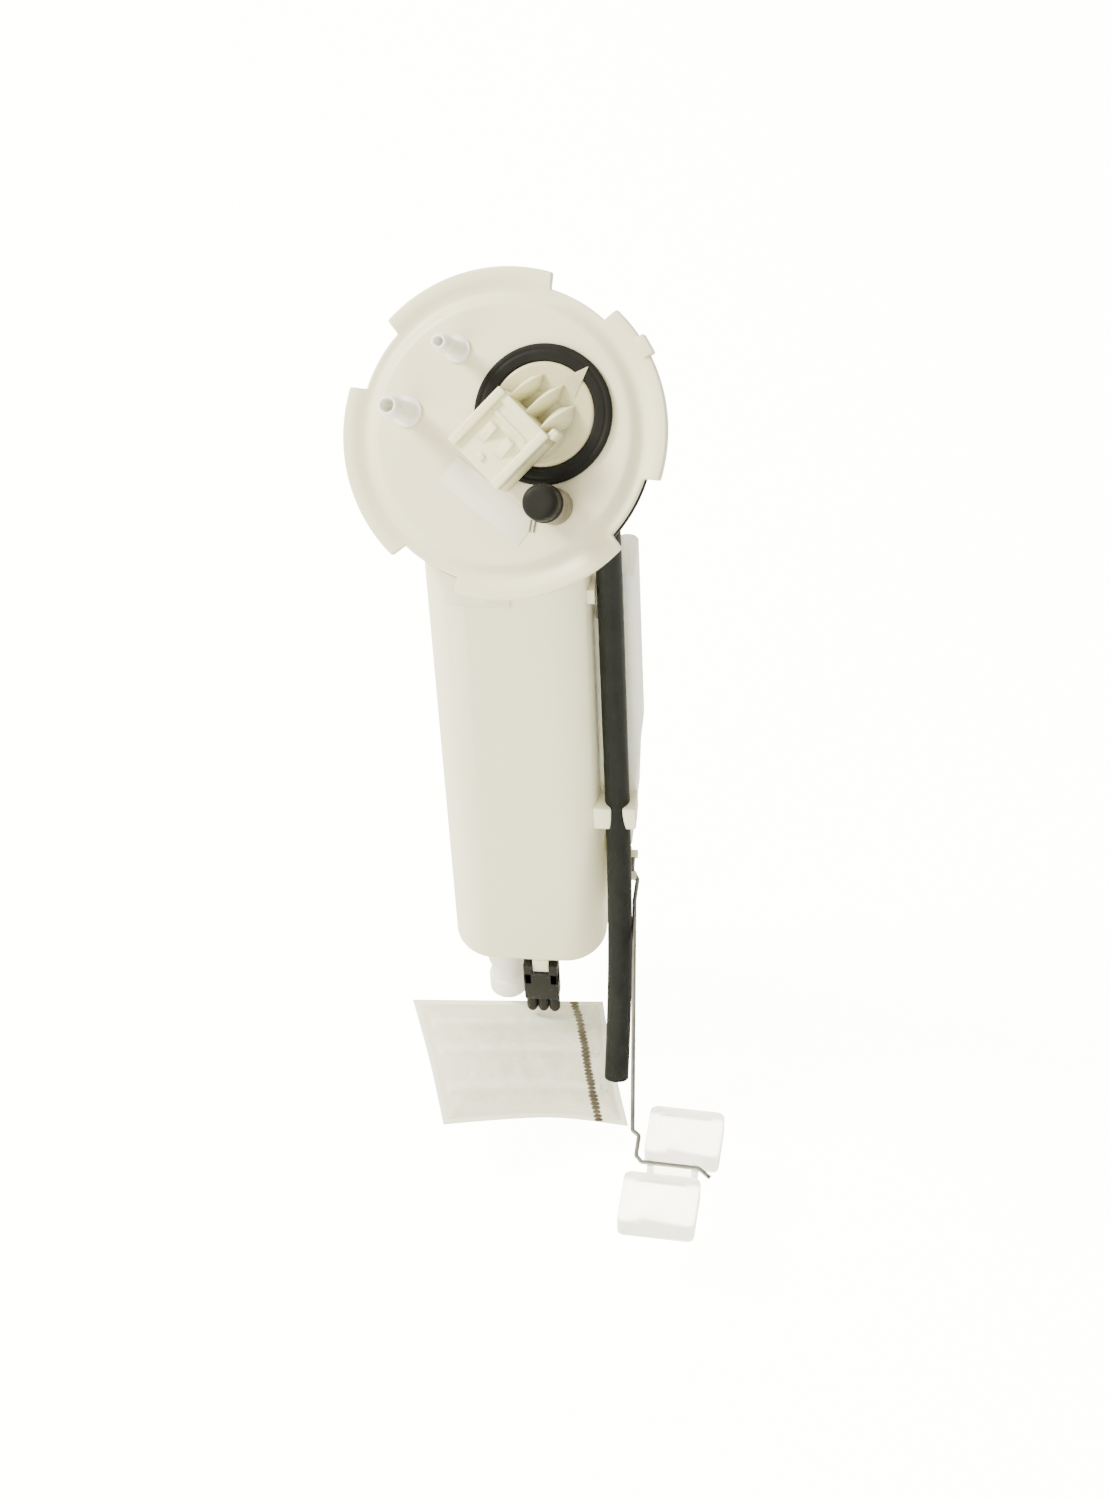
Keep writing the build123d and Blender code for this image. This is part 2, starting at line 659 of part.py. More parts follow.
def terminal_set(grow=0.0):
    """The row of right-angle terminals."""
    blades = Part()
    level = SOCKET_BASE + SOCKET_HEIGHT / 2
    back = -SOCKET_BACK - SOCKET_BACK_WALL / 2
    tail = DISC_TOP - PLUG_DISC_FLOOR - TERMINAL_TAIL
    side = TERMINAL_WIDTH + 2 * grow
    thick = TERMINAL_THICKNESS + 2 * grow
    for index in range(TERMINAL_COUNT):
        y = TERMINAL_PITCH * (index - (TERMINAL_COUNT - 1) / 2)
        blade = Pos(back - TERMINAL_REACH / 2, y, level) * Box(TERMINAL_REACH, side, thick)
        leg = Pos(back, y, tail) * Box(thick, side, level + thick / 2 - tail, align=BOTTOM)
        blades += blade + leg
    return blades


def gusset(side):
    """One leaf-shaped rib behind the connector's back wall."""
    height = SOCKET_HEIGHT - 2.0
    reach = GUSSET_REACH - 3.0 * abs(side)
    outline = make_face(Polyline(
        (0, 0), (reach, 0), (reach + 1.0, 2.0), (0.35 * reach, 0.62 * height), (0, height), close=True,
    ))
    leaf = extrude(Plane.XZ * outline, amount=GUSSET_THICKNESS / 2, both=True)
    return Pos(-SOCKET_BACK, side * GUSSET_SPACING, SOCKET_BASE - 1.0) * leaf


def latch_ramp(side):
    """One ramp on the socket's roof that the plug's latch rides over."""
    outline = make_face(Polyline((0, 0), (LATCH_LENGTH, 0), (LATCH_LENGTH, LATCH_RISE), close=True))
    ramp = extrude(Plane.XZ * outline, amount=LATCH_WIDTH / 2, both=True)
    roof = SOCKET_BASE + SOCKET_HEIGHT
    return Pos(-SOCKET_MOUTH + 8.0, side * 5.4, roof) * ramp


def connector_header():
    """The disc, the arrow and the socket of the electrical connector."""
    disc_top = DISC_TOP + PLUG_DISC_TOP
    lip_top = DISC_TOP + GROMMET_LIP
    disc = Pos(0, 0, DISC_TOP - PLUG_DISC_FLOOR) * Cylinder(
        GROMMET_BORE, PLUG_DISC_TOP + PLUG_DISC_FLOOR, align=BOTTOM)
    arrow_foot = GROMMET_BORE - 7
    arrow = make_face(Polyline(
        (arrow_foot, -ARROW_WIDTH / 2), (ARROW_REACH, 0), (arrow_foot, ARROW_WIDTH / 2), close=True,
    ))
    disc += Pos(0, 0, lip_top) * extrude(arrow, amount=ARROW_THICKNESS)
    disc += Pos(GROMMET_BORE - 4.5, 0, disc_top) * Box(4, 5, lip_top - disc_top + 0.2, align=BOTTOM)
    disc += Pos(-SOCKET_BACK - 3, 0, disc_top) * Cylinder(
        PEDESTAL_RADIUS, SOCKET_BASE - disc_top + 0.5, align=BOTTOM)
    length = SOCKET_MOUTH - SOCKET_BACK
    shell = Pos(-SOCKET_BACK, 0, SOCKET_BASE) * Box(
        length, SOCKET_WIDTH, SOCKET_HEIGHT, align=(Align.MAX, Align.CENTER, Align.MIN))
    shell = fillet(shell.edges().filter_by(Axis.X), 1.6)
    hollow = Pos(-SOCKET_BACK - SOCKET_BACK_WALL, 0, SOCKET_BASE + SOCKET_WALL) * Box(
        length, SOCKET_WIDTH - 2 * SOCKET_WALL, SOCKET_HEIGHT - 2 * SOCKET_WALL,
        align=(Align.MAX, Align.CENTER, Align.MIN))
    shell -= hollow
    roof = SOCKET_BASE + SOCKET_HEIGHT
    for side in (-1, 1):
        rail = Pos(-SOCKET_BACK, side * (SOCKET_WIDTH - RAIL_WIDTH) / 2, roof - 1.6) * Box(
            length, RAIL_WIDTH, RAIL_RISE + 1.6, align=(Align.MAX, Align.CENTER, Align.MIN))
        shell += rail
        shell += latch_ramp(side)
    bump = Pos(-SOCKET_BACK - 7, 0, roof) * Box(3, 7, 1.6, align=BOTTOM)
    shell += bump
    for side in (-1, 0, 1):
        shell += gusset(side)
    header = disc + shell
    header -= terminal_set()
    return on_socket(header)


def connector_terminals():
    """The terminals as separate pieces of metal."""
    return on_socket(terminal_set())


def label():
    """The bare paper label on the cover."""
    sheet = Box(LABEL_LENGTH, LABEL_WIDTH, LABEL_THICKNESS, align=CORNER)
    return on_flange(Pos(*LABEL_CORNER, DISC_TOP) * Rot(0, 0, LABEL_TURN) * sheet)


# ---- Reservoir and collar ----------------------------------------------------------------------
def wall_block(face, along, level, width, height, rise):
    """A block through the reservoir's wall and the collar's, standing this far out of the wall."""
    inward = RESERVOIR_WALL + COLLAR_CLEARANCE + COLLAR_WALL
    depth = inward + rise
    if face == "side":
        x = RESERVOIR_RIGHT + rise - depth / 2
        return Pos(x, along, level) * Box(depth, width, height)
    if face == "front":
        y = RESERVOIR_FRONT - rise + depth / 2
    else:
        y = RESERVOIR_FRONT + RESERVOIR_DEPTH + rise - depth / 2
    return Pos(along, y, level) * Box(width, depth, height)


def snap_tabs():
    """The collar's tabs, which stand in the reservoir's windows."""
    tabs = wall_block("front", *FRONT_TAB, TAB_WIDTH, TAB_HEIGHT, TAB_RISE)
    tabs += wall_block("rear", *REAR_TAB, TAB_WIDTH, TAB_HEIGHT, TAB_RISE)
    tabs += wall_block("side", *SIDE_TAB, TAB_WIDTH, TAB_HEIGHT, SIDE_TAB_RISE)
    return tabs


def tab_windows():
    """The windows for those tabs, open through the reservoir's wall alone."""
    width = TAB_WIDTH + 2 * WINDOW_CLEARANCE
    height = TAB_HEIGHT + 2 * WINDOW_CLEARANCE
    windows = wall_block("rear", *REAR_TAB, width, height, 2 * SIDE_TAB_RISE)
    windows += wall_block("side", *SIDE_TAB, width, height, 2 * SIDE_TAB_RISE)
    right = FRONT_TAB[0] + width / 2
    middle = (FRONT_WINDOW_LEFT + right) / 2
    windows += wall_block("front", middle, FRONT_TAB[1], right - FRONT_WINDOW_LEFT, height, 2 * SIDE_TAB_RISE)
    return windows


def mounting_collar():
    """The collar that plugs into the cover's spigot and into the reservoir's mitred top."""
    low = COLLAR_TOP - COLLAR_PLATE
    edge = SPIGOT_RADIUS - COLLAR_PLATE_INSET
    plug = SPIGOT_RADIUS - SPIGOT_WALL - COLLAR_RING_CLEARANCE
    plate = on_flange(spun([
        (0, low),
        (edge, low),
        (edge, COLLAR_TOP),
        (plug, COLLAR_TOP),
        (plug, COLLAR_TOP + COLLAR_RING_RISE),
        (plug - COLLAR_RING_WALL, COLLAR_TOP + COLLAR_RING_RISE),
        (plug - COLLAR_RING_WALL, COLLAR_TOP),
        (0, COLLAR_TOP),
    ]))
    outer = -RESERVOIR_WALL - COLLAR_CLEARANCE
    hollow = reservoir_prism(outer - COLLAR_WALL, -FAR / 2, FAR)
    sleeve = reservoir_prism(outer, COLLAR_END, FAR / 2)
    sleeve -= above_flange(low + COLLAR_PLATE / 2)
    collar = (plate - hollow) + (sleeve - hollow)
    collar += snap_tabs() - hollow
    collar -= Pos(*HOSE_PLACE, 0) * Cylinder(HOSE_RADIUS + HOSE_CLEARANCE, FAR)
    return collar


def reservoir():
    """The moulded canister that holds the pump in fuel."""
    height = FAR
    outer = reservoir_prism(0, RESERVOIR_BOTTOM, height)
    outer = fillet(outer.edges().group_by(Axis.Z)[0], RESERVOIR_BOTTOM_ROUND)
    inner = reservoir_prism(-RESERVOIR_WALL, RESERVOIR_BOTTOM + RESERVOIR_FLOOR, height)
    inner = fillet(inner.edges().group_by(Axis.Z)[0], RESERVOIR_BOTTOM_ROUND - RESERVOIR_WALL)
    tank = outer - inner
    tank -= above_flange(RESERVOIR_TOP)
    tank -= tab_windows()
    shelf_top = PUMP_TOP - ISOLATOR_HEIGHT
    shelf = reservoir_prism(-RESERVOIR_WALL + 0.2, shelf_top - SHELF_HEIGHT, SHELF_HEIGHT)
    shelf -= reservoir_prism(-RESERVOIR_WALL - SHELF_DEPTH, shelf_top - SHELF_HEIGHT, SHELF_HEIGHT)
    tank += shelf
    floor_top = RESERVOIR_BOTTOM + RESERVOIR_FLOOR
    seat_height = PUMP_BASE - ISOLATOR_LIP - floor_top
    seat = ring(PUMP_RADIUS + ISOLATOR_WALL, PUMP_RADIUS - 2.5, floor_top - 0.2, floor_top + seat_height)
    tank += Pos(*PUMP_PLACE, 0) * seat & reservoir_prism(-RESERVOIR_WALL / 2, RESERVOIR_BOTTOM + 1, height)
    inlet = (PUMP_PLACE[0] + INLET_OFFSET[0], PUMP_PLACE[1] + INLET_OFFSET[1])
    hole = Cylinder(INLET_RADIUS + GROMMET_FLANGE, 4 * RESERVOIR_FLOOR)
    clear = Cylinder(INLET_RADIUS + GROMMET_FLANGE + 2.2, seat_height + 2, align=BOTTOM)
    tank -= Pos(*inlet, floor_top) * clear
    tank -= Pos(*inlet, RESERVOIR_BOTTOM) * hole
    tank -= Pos(*VALVE_PLACE, RESERVOIR_BOTTOM) * Cylinder(VALVE_STEM, 4 * RESERVOIR_FLOOR)
    port = Pos(0.62 * VALVE_RADIUS, 0, RESERVOIR_BOTTOM) * Cylinder(VALVE_PORT, 4 * RESERVOIR_FLOOR)
    for index in range(VALVE_PORT_COUNT):
        tank -= Pos(*VALVE_PLACE, 0) * Rot(0, 0, 360 / VALVE_PORT_COUNT * index) * port
    tank += strainer_tab()
    return tank


def strainer_tab():
    """The tab under the reservoir that the strainer's clip grips."""
    width = CLIP_WIDTH - 2 * CLIP_EAR
    tab = Box(width, CLIP_DEPTH - 3.0, 8.0, align=TOP)
    return Pos(*CLIP_PLACE, RESERVOIR_BOTTOM + 1.0) * tab


# ---- Strainer ----------------------------------------------------------------------------------
def inlet_place():
    return PUMP_PLACE[0] + INLET_OFFSET[0], PUMP_PLACE[1] + INLET_OFFSET[1]


def inlet_grommet():
    """The rubber bush in the reservoir's floor."""
    low = RESERVOIR_BOTTOM - 1.4
    high = RESERVOIR_BOTTOM + RESERVOIR_FLOOR + 1.4
    neck = INLET_RADIUS + GROMMET_FLANGE
    bush = spun([
        (INLET_RADIUS, low),
        (neck + 1.6, low),
        (neck + 1.6, RESERVOIR_BOTTOM),
        (neck, RESERVOIR_BOTTOM),
        (neck, RESERVOIR_BOTTOM + RESERVOIR_FLOOR),
        (neck + 1.6, RESERVOIR_BOTTOM + RESERVOIR_FLOOR),
        (neck + 1.6, high),
        (INLET_RADIUS, high),
    ])
    return Pos(*inlet_place(), 0) * bush


def sock_plane():
    """The strainer's own axes: X along its width, Y towards the edge by the neck, origin in its middle."""
    yaw_angle = math.radians(SOCK_YAW)
    roll = math.radians(SOCK_ROLL)
    level = math.cos(roll)
    along = Vector(math.cos(yaw_angle) * level, math.sin(yaw_angle) * level, -math.sin(roll))
    across = Vector(-math.sin(yaw_angle), math.cos(yaw_angle), 0)
    centre = Vector(*SOCK_DOCK) - along * SOCK_DOCK_OFFSET - across * (SOCK_LENGTH / 2)
    return Plane(origin=centre, x_dir=along, z_dir=along.cross(across))


def on_sock(shape):
    return sock_plane().location * shape


def strainer_neck():
    """The stepped neck that joins the pump's inlet to the sock."""
    x, y = inlet_place()
    low = SOCK_DOCK[2] - NECK_DUCT_HEIGHT
    slim = NECK_RADIUS - NECK_STEP
    neck = Pos(x, y, low) * Cylinder(slim, NECK_TOP - low, align=BOTTOM)
    neck += Pos(x, y, NECK_TOP) * Cylinder(NECK_RADIUS, 11, align=TOP)
    neck += Pos(x, y, low) * Cylinder(NECK_RADIUS, 12, align=BOTTOM)
    reach = SOCK_DOCK[1] - y
    centred = (Align.CENTER, Align.MIN, Align.CENTER)
    duct = Box(NECK_DUCT_WIDTH, NECK_DUCT_REACH - reach, NECK_DUCT_HEIGHT, align=centred)
    duct = fillet(duct.edges().filter_by(Axis.Y), 1.2)
    start = SOCK_LENGTH / 2 - NECK_DUCT_REACH
    neck += on_sock(Pos(SOCK_DOCK_OFFSET, start, 0) * duct)
    neck -= Pos(x, y, low + 2.4) * Cylinder(INLET_RADIUS + TUBE_FIT, FAR, align=BOTTOM)
    passage = Box(
        NECK_DUCT_WIDTH - 2.8, NECK_DUCT_REACH - reach + 1, NECK_DUCT_HEIGHT - 2.6,
        align=(Align.CENTER, Align.MIN, Align.CENTER))
    neck -= on_sock(Pos(SOCK_DOCK_OFFSET, start - 1, 0) * passage)
    return neck


def sock_blank(shrink):
    """A flat pouch with thinned edges, about its own middle."""
    width = SOCK_WIDTH - 2 * shrink
    length = SOCK_LENGTH - 2 * shrink
    half = SOCK_THICKNESS / 2 - shrink
    thin = 0.35 * half
    full = RectangleRounded(width, length, SOCK_CORNER)
    crown = RectangleRounded(width - 2 * SOCK_BEVEL, length - 2 * SOCK_BEVEL, SOCK_CORNER)
    pouch = Pos(0, 0, -thin) * extrude(full, amount=2 * thin)
    pouch += loft([Pos(0, 0, thin) * full, Pos(0, 0, half) * crown])
    pouch += loft([Pos(0, 0, -half) * crown, Pos(0, 0, -thin) * full])
    return pouch


def strainer_sock():
    """The mesh pouch, hollow round its frame."""
    pouch = sock_blank(0) - sock_blank(SOCK_MESH)
    slot = Pos(SOCK_DOCK_OFFSET, SOCK_LENGTH / 2, 0) * Box(
        NECK_DUCT_WIDTH + 0.4, 2 * NECK_DUCT_REACH - 1, NECK_DUCT_HEIGHT + 0.4)
    return on_sock(pouch - slot)


def strainer_frame():
    """The spreader inside the pouch."""
    edge = SOCK_LENGTH / 2
    width = SOCK_WIDTH - 2 * (FRAME_MARGIN + SOCK_BEVEL / 2)
    frame = Part()
    for place in FRAME_RIB_PLACES:
        frame += Pos(0, edge - place, 0) * Box(width, FRAME_RIB, FRAME_THICKNESS)
    start = edge - NECK_DUCT_REACH
    end = edge - FRAME_RIB_PLACES[-1] - 6.0
    for side in (-1, 1):
        spine = Box(FRAME_RIB, start - end, FRAME_THICKNESS, align=(Align.CENTER, Align.MIN, Align.CENTER))
        frame += Pos(SOCK_DOCK_OFFSET + side * 5.0, end, 0) * spine
    return on_sock(frame)


def strainer_clip():
    """The black three-fingered clip under the reservoir's front edge."""
    x, y = CLIP_PLACE
    top = RESERVOIR_BOTTOM - 1.0
    body_height = CLIP_HEIGHT - CLIP_FINGER_LENGTH
    body = Pos(x, y, top - body_height) * Box(CLIP_WIDTH, CLIP_DEPTH, body_height, align=BOTTOM)
    body = fillet(body.edges().filter_by(Axis.Z), 1.0)
    body -= Pos(x, y, top) * Box(CLIP_WIDTH - 2 * CLIP_EAR, CLIP_DEPTH - 3.0, 14.0)
    pitch = (CLIP_WIDTH - 2 * CLIP_FINGER_RADIUS) / (CLIP_FINGER_COUNT - 1)
    for index in range(CLIP_FINGER_COUNT):
        offset = pitch * (index - (CLIP_FINGER_COUNT - 1) / 2)
        foot = top - body_height
        finger = Pos(x + offset, y, foot - CLIP_FINGER_LENGTH) * Cylinder(
            CLIP_FINGER_RADIUS, CLIP_FINGER_LENGTH + 1, align=BOTTOM)
        body += finger + Pos(x + offset, y, foot - CLIP_FINGER_LENGTH) * Sphere(CLIP_FINGER_RADIUS)
    return body


def fill_valve():
    """The rubber umbrella valve in the reservoir's floor."""
    floor_top = RESERVOIR_BOTTOM + RESERVOIR_FLOOR
    umbrella = spun([
        (0, RESERVOIR_BOTTOM - 3.0),
        (VALVE_STEM + 1.0, RESERVOIR_BOTTOM - 1.5),
        (VALVE_STEM + 1.0, RESERVOIR_BOTTOM),
        (VALVE_STEM, RESERVOIR_BOTTOM),
        (VALVE_STEM, floor_top),
        (VALVE_RADIUS, floor_top),
        (VALVE_RADIUS, floor_top + 0.6),
        (VALVE_STEM, floor_top + 2.2),
        (0, floor_top + 2.4),
    ])
    return Pos(*VALVE_PLACE, 0) * umbrella


# ---- Pump --------------------------------------------------------------------------------------
def at_pump(shape, height=0.0):
    return Pos(PUMP_PLACE[0], PUMP_PLACE[1], PUMP_BASE + height) * shape


def pump_case():
    """The steel tube, rolled over both end covers."""
    inner = PUMP_RADIUS - PUMP_CASE_WALL
    return at_pump(spun([
        (inner - CRIMP, -CRIMP), (PUMP_RADIUS - 0.6, -CRIMP), (PUMP_RADIUS, 0),
        (PUMP_RADIUS, PUMP_CASE_LENGTH), (PUMP_RADIUS - 0.6, PUMP_CASE_LENGTH + CRIMP),
        (inner - CRIMP, PUMP_CASE_LENGTH + CRIMP), (inner - CRIMP, PUMP_CASE_LENGTH),
        (inner, PUMP_CASE_LENGTH), (inner, 0), (inner - CRIMP, 0),
    ]))


def channel(height):
    """The half-round channel that the impeller's blades sweep."""
    return Pos(0, 0, height) * Torus(CHANNEL_RADIUS, CHANNEL_SECTION)


def pump_inlet_cover():
    """The pump's lower end cover with the inlet stub."""
    cover = Cylinder(PUMP_RADIUS - PUMP_CASE_WALL, INLET_COVER_THICKNESS, align=BOTTOM)
    cover += Pos(*INLET_OFFSET, 0) * Cylinder(INLET_RADIUS, INLET_LENGTH, align=TOP)
    cover -= Pos(*INLET_OFFSET, -INLET_LENGTH) * Cylinder(
        INLET_BORE, INLET_LENGTH + INLET_COVER_THICKNESS - 2, align=BOTTOM)
    cover -= Pos(*INLET_OFFSET, 0) * Cylinder(1.4, FAR, align=BOTTOM)
    cover -= channel(INLET_COVER_THICKNESS)
    cover -= Pos(0, 0, 3.0) * Cylinder(SHAFT_RADIUS + BEARING_FIT, FAR, align=BOTTOM)
    return at_pump(cover)


def impeller():
    """The bladed wheel on the shaft's flat-sided end."""
    wheel = Cylinder(IMPELLER_RADIUS, IMPELLER_THICKNESS, align=BOTTOM)
    slot = Pos(IMPELLER_RADIUS, 0, 0) * Box(2 * BLADE_DEPTH, 2.0, 4 * IMPELLER_THICKNESS)
    for index in range(BLADE_COUNT):
        wheel -= Rot(0, 0, 360 / BLADE_COUNT * index) * slot
    wheel -= Cylinder(SHAFT_RADIUS, FAR)
    return at_pump(wheel, INLET_COVER_THICKNESS + IMPELLER_GAP)


def pump_plate():
    """The plate over the impeller, with the lower bearing."""
    low = INLET_COVER_THICKNESS
    cavity = IMPELLER_THICKNESS + 2 * IMPELLER_GAP
    thickness = cavity + PUMP_PLATE_THICKNESS
    plate = Pos(0, 0, low) * Cylinder(PUMP_RADIUS - PUMP_CASE_WALL, thickness, align=BOTTOM)
    plate -= Pos(0, 0, low) * Cylinder(IMPELLER_RADIUS + 0.4, cavity, align=BOTTOM)
    plate -= channel(low + cavity)
    plate -= Cylinder(SHAFT_RADIUS + BEARING_FIT, FAR)
    plate -= Pos(CHANNEL_RADIUS, 0, low) * Cylinder(1.6, FAR, align=BOTTOM)
    return at_pump(plate)


def armature_base():
    return INLET_COVER_THICKNESS + IMPELLER_THICKNESS + 2 * IMPELLER_GAP + PUMP_PLATE_THICKNESS + 6.0


def pump_shaft():
    start = 4.0
    end = PUMP_CASE_LENGTH - OUTLET_COVER_THICKNESS + 8.0
    return at_pump(Pos(0, 0, start) * Cylinder(SHAFT_RADIUS, end - start, align=BOTTOM))


def armature():
    """The slotted and wound core with its commutator."""
    core = Cylinder(ARMATURE_RADIUS, ARMATURE_LENGTH, align=BOTTOM)
    slot = Pos(ARMATURE_RADIUS, 0, 0) * Box(8.0, 1.6, 3 * ARMATURE_LENGTH)
    for index in range(ARMATURE_SLOTS):
        core -= Rot(0, 0, 360 / ARMATURE_SLOTS * index) * slot
    core += Pos(0, 0, ARMATURE_LENGTH) * Cylinder(COMMUTATOR_RADIUS, COMMUTATOR_LENGTH, align=BOTTOM)
    core -= Cylinder(SHAFT_RADIUS, FAR)
    return at_pump(core, armature_base())


def motor_magnets():
    """The two magnet shells in the case."""
    inner = ARMATURE_RADIUS + MAGNET_GAP
    shell = ring(PUMP_RADIUS - PUMP_CASE_WALL - 0.05, inner, 0, ARMATURE_LENGTH)
    half = math.radians(MAGNET_ANGLE / 2)
    far = 3 * PUMP_RADIUS
    wedge = make_face(Polyline(
        (0, 0), (far * math.cos(half), far * math.sin(half)), (far, 0),
        (far * math.cos(half), -far * math.sin(half)), close=True,
    ))
    cutter = extrude(wedge, amount=ARMATURE_LENGTH)
    magnets = (shell & cutter) + (shell & (Rot(0, 0, 180) * cutter))
    return at_pump(magnets, armature_base())


def brush_level():
    return armature_base() + ARMATURE_LENGTH + COMMUTATOR_LENGTH / 2


def motor_brushes(grow=0.0):
    """The two carbon brushes on the commutator."""
    brushes = Part()
    for side in (-1, 1):
        start = COMMUTATOR_RADIUS + 0.3
        block = Box(BRUSH_LENGTH, BRUSH_SIDE + 2 * grow, BRUSH_SIDE + 2 * grow)
        brushes += Pos(side * (start + BRUSH_LENGTH / 2), 0, 0) * block
    return at_pump(brushes, brush_level())


def pump_outlet_cover():
    """The pump's upper end cover with the brush holders and the outlet."""
    low = PUMP_CASE_LENGTH - OUTLET_COVER_THICKNESS
    holder_low = brush_level() - BRUSH_SIDE / 2 - BRUSH_FLOOR
    cover = Pos(0, 0, low) * Cylinder(PUMP_RADIUS - PUMP_CASE_WALL, OUTLET_COVER_THICKNESS, align=BOTTOM)
    skirt = ring(PUMP_RADIUS - PUMP_CASE_WALL, COMMUTATOR_RADIUS + 0.8, holder_low, low + 0.1)
    cover += skirt
    cover += Pos(*OUTLET_OFFSET, PUMP_CASE_LENGTH) * Cylinder(OUTLET_RADIUS, OUTLET_LENGTH, align=BOTTOM)
    cover -= Pos(*OUTLET_OFFSET, low - FAR / 2) * Cylinder(OUTLET_RADIUS - PIPE_WALL, FAR, align=BOTTOM)
    cover -= Pos(0, 0, low - FAR) * Cylinder(SHAFT_RADIUS + BEARING_FIT, FAR + 9.0, align=BOTTOM)
    cover = at_pump(cover)
    return cover - motor_brushes(0.05)


def pump_isolator(low_end):
    """A rubber cup round one end of the pump."""
    bore = PUMP_RADIUS
    outer = PUMP_RADIUS + ISOLATOR_WALL
    lip = PUMP_RADIUS - PUMP_CASE_WALL - CRIMP - 1.0
    cup = spun([
        (lip, -ISOLATOR_LIP), (outer, -ISOLATOR_LIP), (outer, ISOLATOR_HEIGHT - ISOLATOR_LIP),
        (bore, ISOLATOR_HEIGHT - ISOLATOR_LIP), (bore, 0), (bore - 0.6, -CRIMP), (lip, -CRIMP),
    ])
    inlet = Pos(*INLET_OFFSET, 0) * Cylinder(INLET_RADIUS + 0.4, 40)
    if low_end:
        return at_pump(cup - inlet)
    return at_pump(Pos(0, 0, PUMP_CASE_LENGTH) * Rot(180, 0, 0) * cup)


def pump_retainer():
    """The plate that steadies the pump's top end in the reservoir."""
    grow = -RESERVOIR_WALL - RETAINER_CLEARANCE
    low = PUMP_TOP - ISOLATOR_HEIGHT
    plate = reservoir_prism(grow, low, RETAINER_THICKNESS)
    bore = PUMP_RADIUS + ISOLATOR_WALL
    plate -= Pos(*PUMP_PLACE, 0) * Cylinder(bore, 3 * FAR)
    plate += Pos(*PUMP_PLACE, low) * ring(bore + 1.4, bore, 0, ISOLATOR_HEIGHT - 4) & reservoir_prism(
        grow, low, ISOLATOR_HEIGHT)
    tube = STUB_RADIUS + TUBE_FIT + TUBE_WALL + RETAINER_CLEARANCE
    line = return_line()
    for place, radius in (((line.X, line.Y), tube), ((20.0, 27.0), 5.5), ((23.5, 8.0), 4.0)):
        plate -= Pos(place[0], place[1], 0) * Cylinder(radius, 3 * FAR)
    return plate


def return_line():
    """The point under the return pipe from which the return stub hangs."""
    return FLANGE.from_local_coords(Vector(*RETURN_PLACE, UNDERSIDE - GALLERY_DROP))


def delivery_tube():
    """The tube from the pump's outlet to the cover's feed stub."""
    x = PUMP_PLACE[0] + OUTLET_OFFSET[0]
    y = PUMP_PLACE[1] + OUTLET_OFFSET[1]
    low = PUMP_TOP + 2.0
    stub_top = flange_height(FEED_STUB[0], FEED_STUB[1], UNDERSIDE - GALLERY_DROP)
    high = stub_top - GALLERY_RADIUS * 1.6
    middle = (low + high) / 2
    points = [(x, y, low), (x, y, middle - 15), (*FEED_STUB, middle + 15), (*FEED_STUB, high)]
    path = route(points, [18.0, 18.0])
    bore = OUTLET_RADIUS + TUBE_FIT
    return tube_along(path, bore + TUBE_WALL, bore)


def return_tube():
    """The tube that lets returned fuel down to the reservoir's floor."""
    line = return_line()
    place = (line.X, line.Y)
    high = line.Z - GALLERY_RADIUS * 1.6
    bore = STUB_RADIUS + TUBE_FIT
    tube = Pos(*place, RETURN_TUBE_END) * Cylinder(bore + TUBE_WALL, high - RETURN_TUBE_END, align=BOTTOM)
    return tube - Pos(*place, RETURN_TUBE_END) * Cylinder(bore, FAR, align=BOTTOM)


# ---- Auxiliary hose ----------------------------------------------------------------------------
def hose_path():
    radii = soft_radii(HOSE_ROUTE)
    print("hose radii", [round(r) for r in radii])
    return route(HOSE_ROUTE, radii)


def auxiliary_hose():
    """The rubber hose from the cover down past the strainer."""
    path = hose_path()
    hose = tube_along(path, HOSE_RADIUS, HOSE_BORE)
    expected = math.pi * (HOSE_RADIUS**2 - HOSE_BORE**2) * path.length
    print(f"hose length {path.length:.1f}, volume {hose.volume:.0f} against {expected:.0f}")
    return hose


def hose_at(height):
    """The hose's centre at a height."""
    path = hose_path()
    low, high = 0.0, 1.0
    for _ in range(40):
        middle = (low + high) / 2
        if (path @ middle).Z > height:
            low = middle
        else:
            high = middle
    return path @ low


def hose_clip():
    """The open clip on the reservoir's side that holds the hose."""
    middle = HOSE_CLIP_TOP - HOSE_CLIP_HEIGHT / 2
    centre = hose_at(middle)
    slope = hose_at(middle + 4) - hose_at(middle - 4)
    frame = Plane(origin=centre, x_dir=(1, 0, 0), z_dir=slope)
    bore = HOSE_RADIUS + 0.1
    outer = bore + HOSE_CLIP_WALL
    jaws = ring(outer, bore, -HOSE_CLIP_HEIGHT / 2, HOSE_CLIP_HEIGHT / 2)
    half = math.radians(HOSE_CLIP_MOUTH / 2)
    far = 3 * outer
    mouth = make_face(Polyline(
        (0, 0), (far * math.sin(half), -far * math.cos(half)), (-far * math.sin(half), -far * math.cos(half)),
        close=True))
    jaws -= Pos(0, 0, -HOSE_CLIP_HEIGHT) * extrude(mouth, amount=2 * HOSE_CLIP_HEIGHT)
    jaws = frame.location * jaws
    foot_depth = 9.0
    foot = Pos(RESERVOIR_RIGHT, centre.Y + 6.0, middle) * Box(
        centre.X - RESERVOIR_RIGHT, foot_depth, HOSE_CLIP_HEIGHT - 2,
        align=(Align.MIN, Align.CENTER, Align.CENTER))
    bore_line = frame.location * Cylinder(bore, 3 * HOSE_CLIP_HEIGHT)
    return jaws + (foot - bore_line)


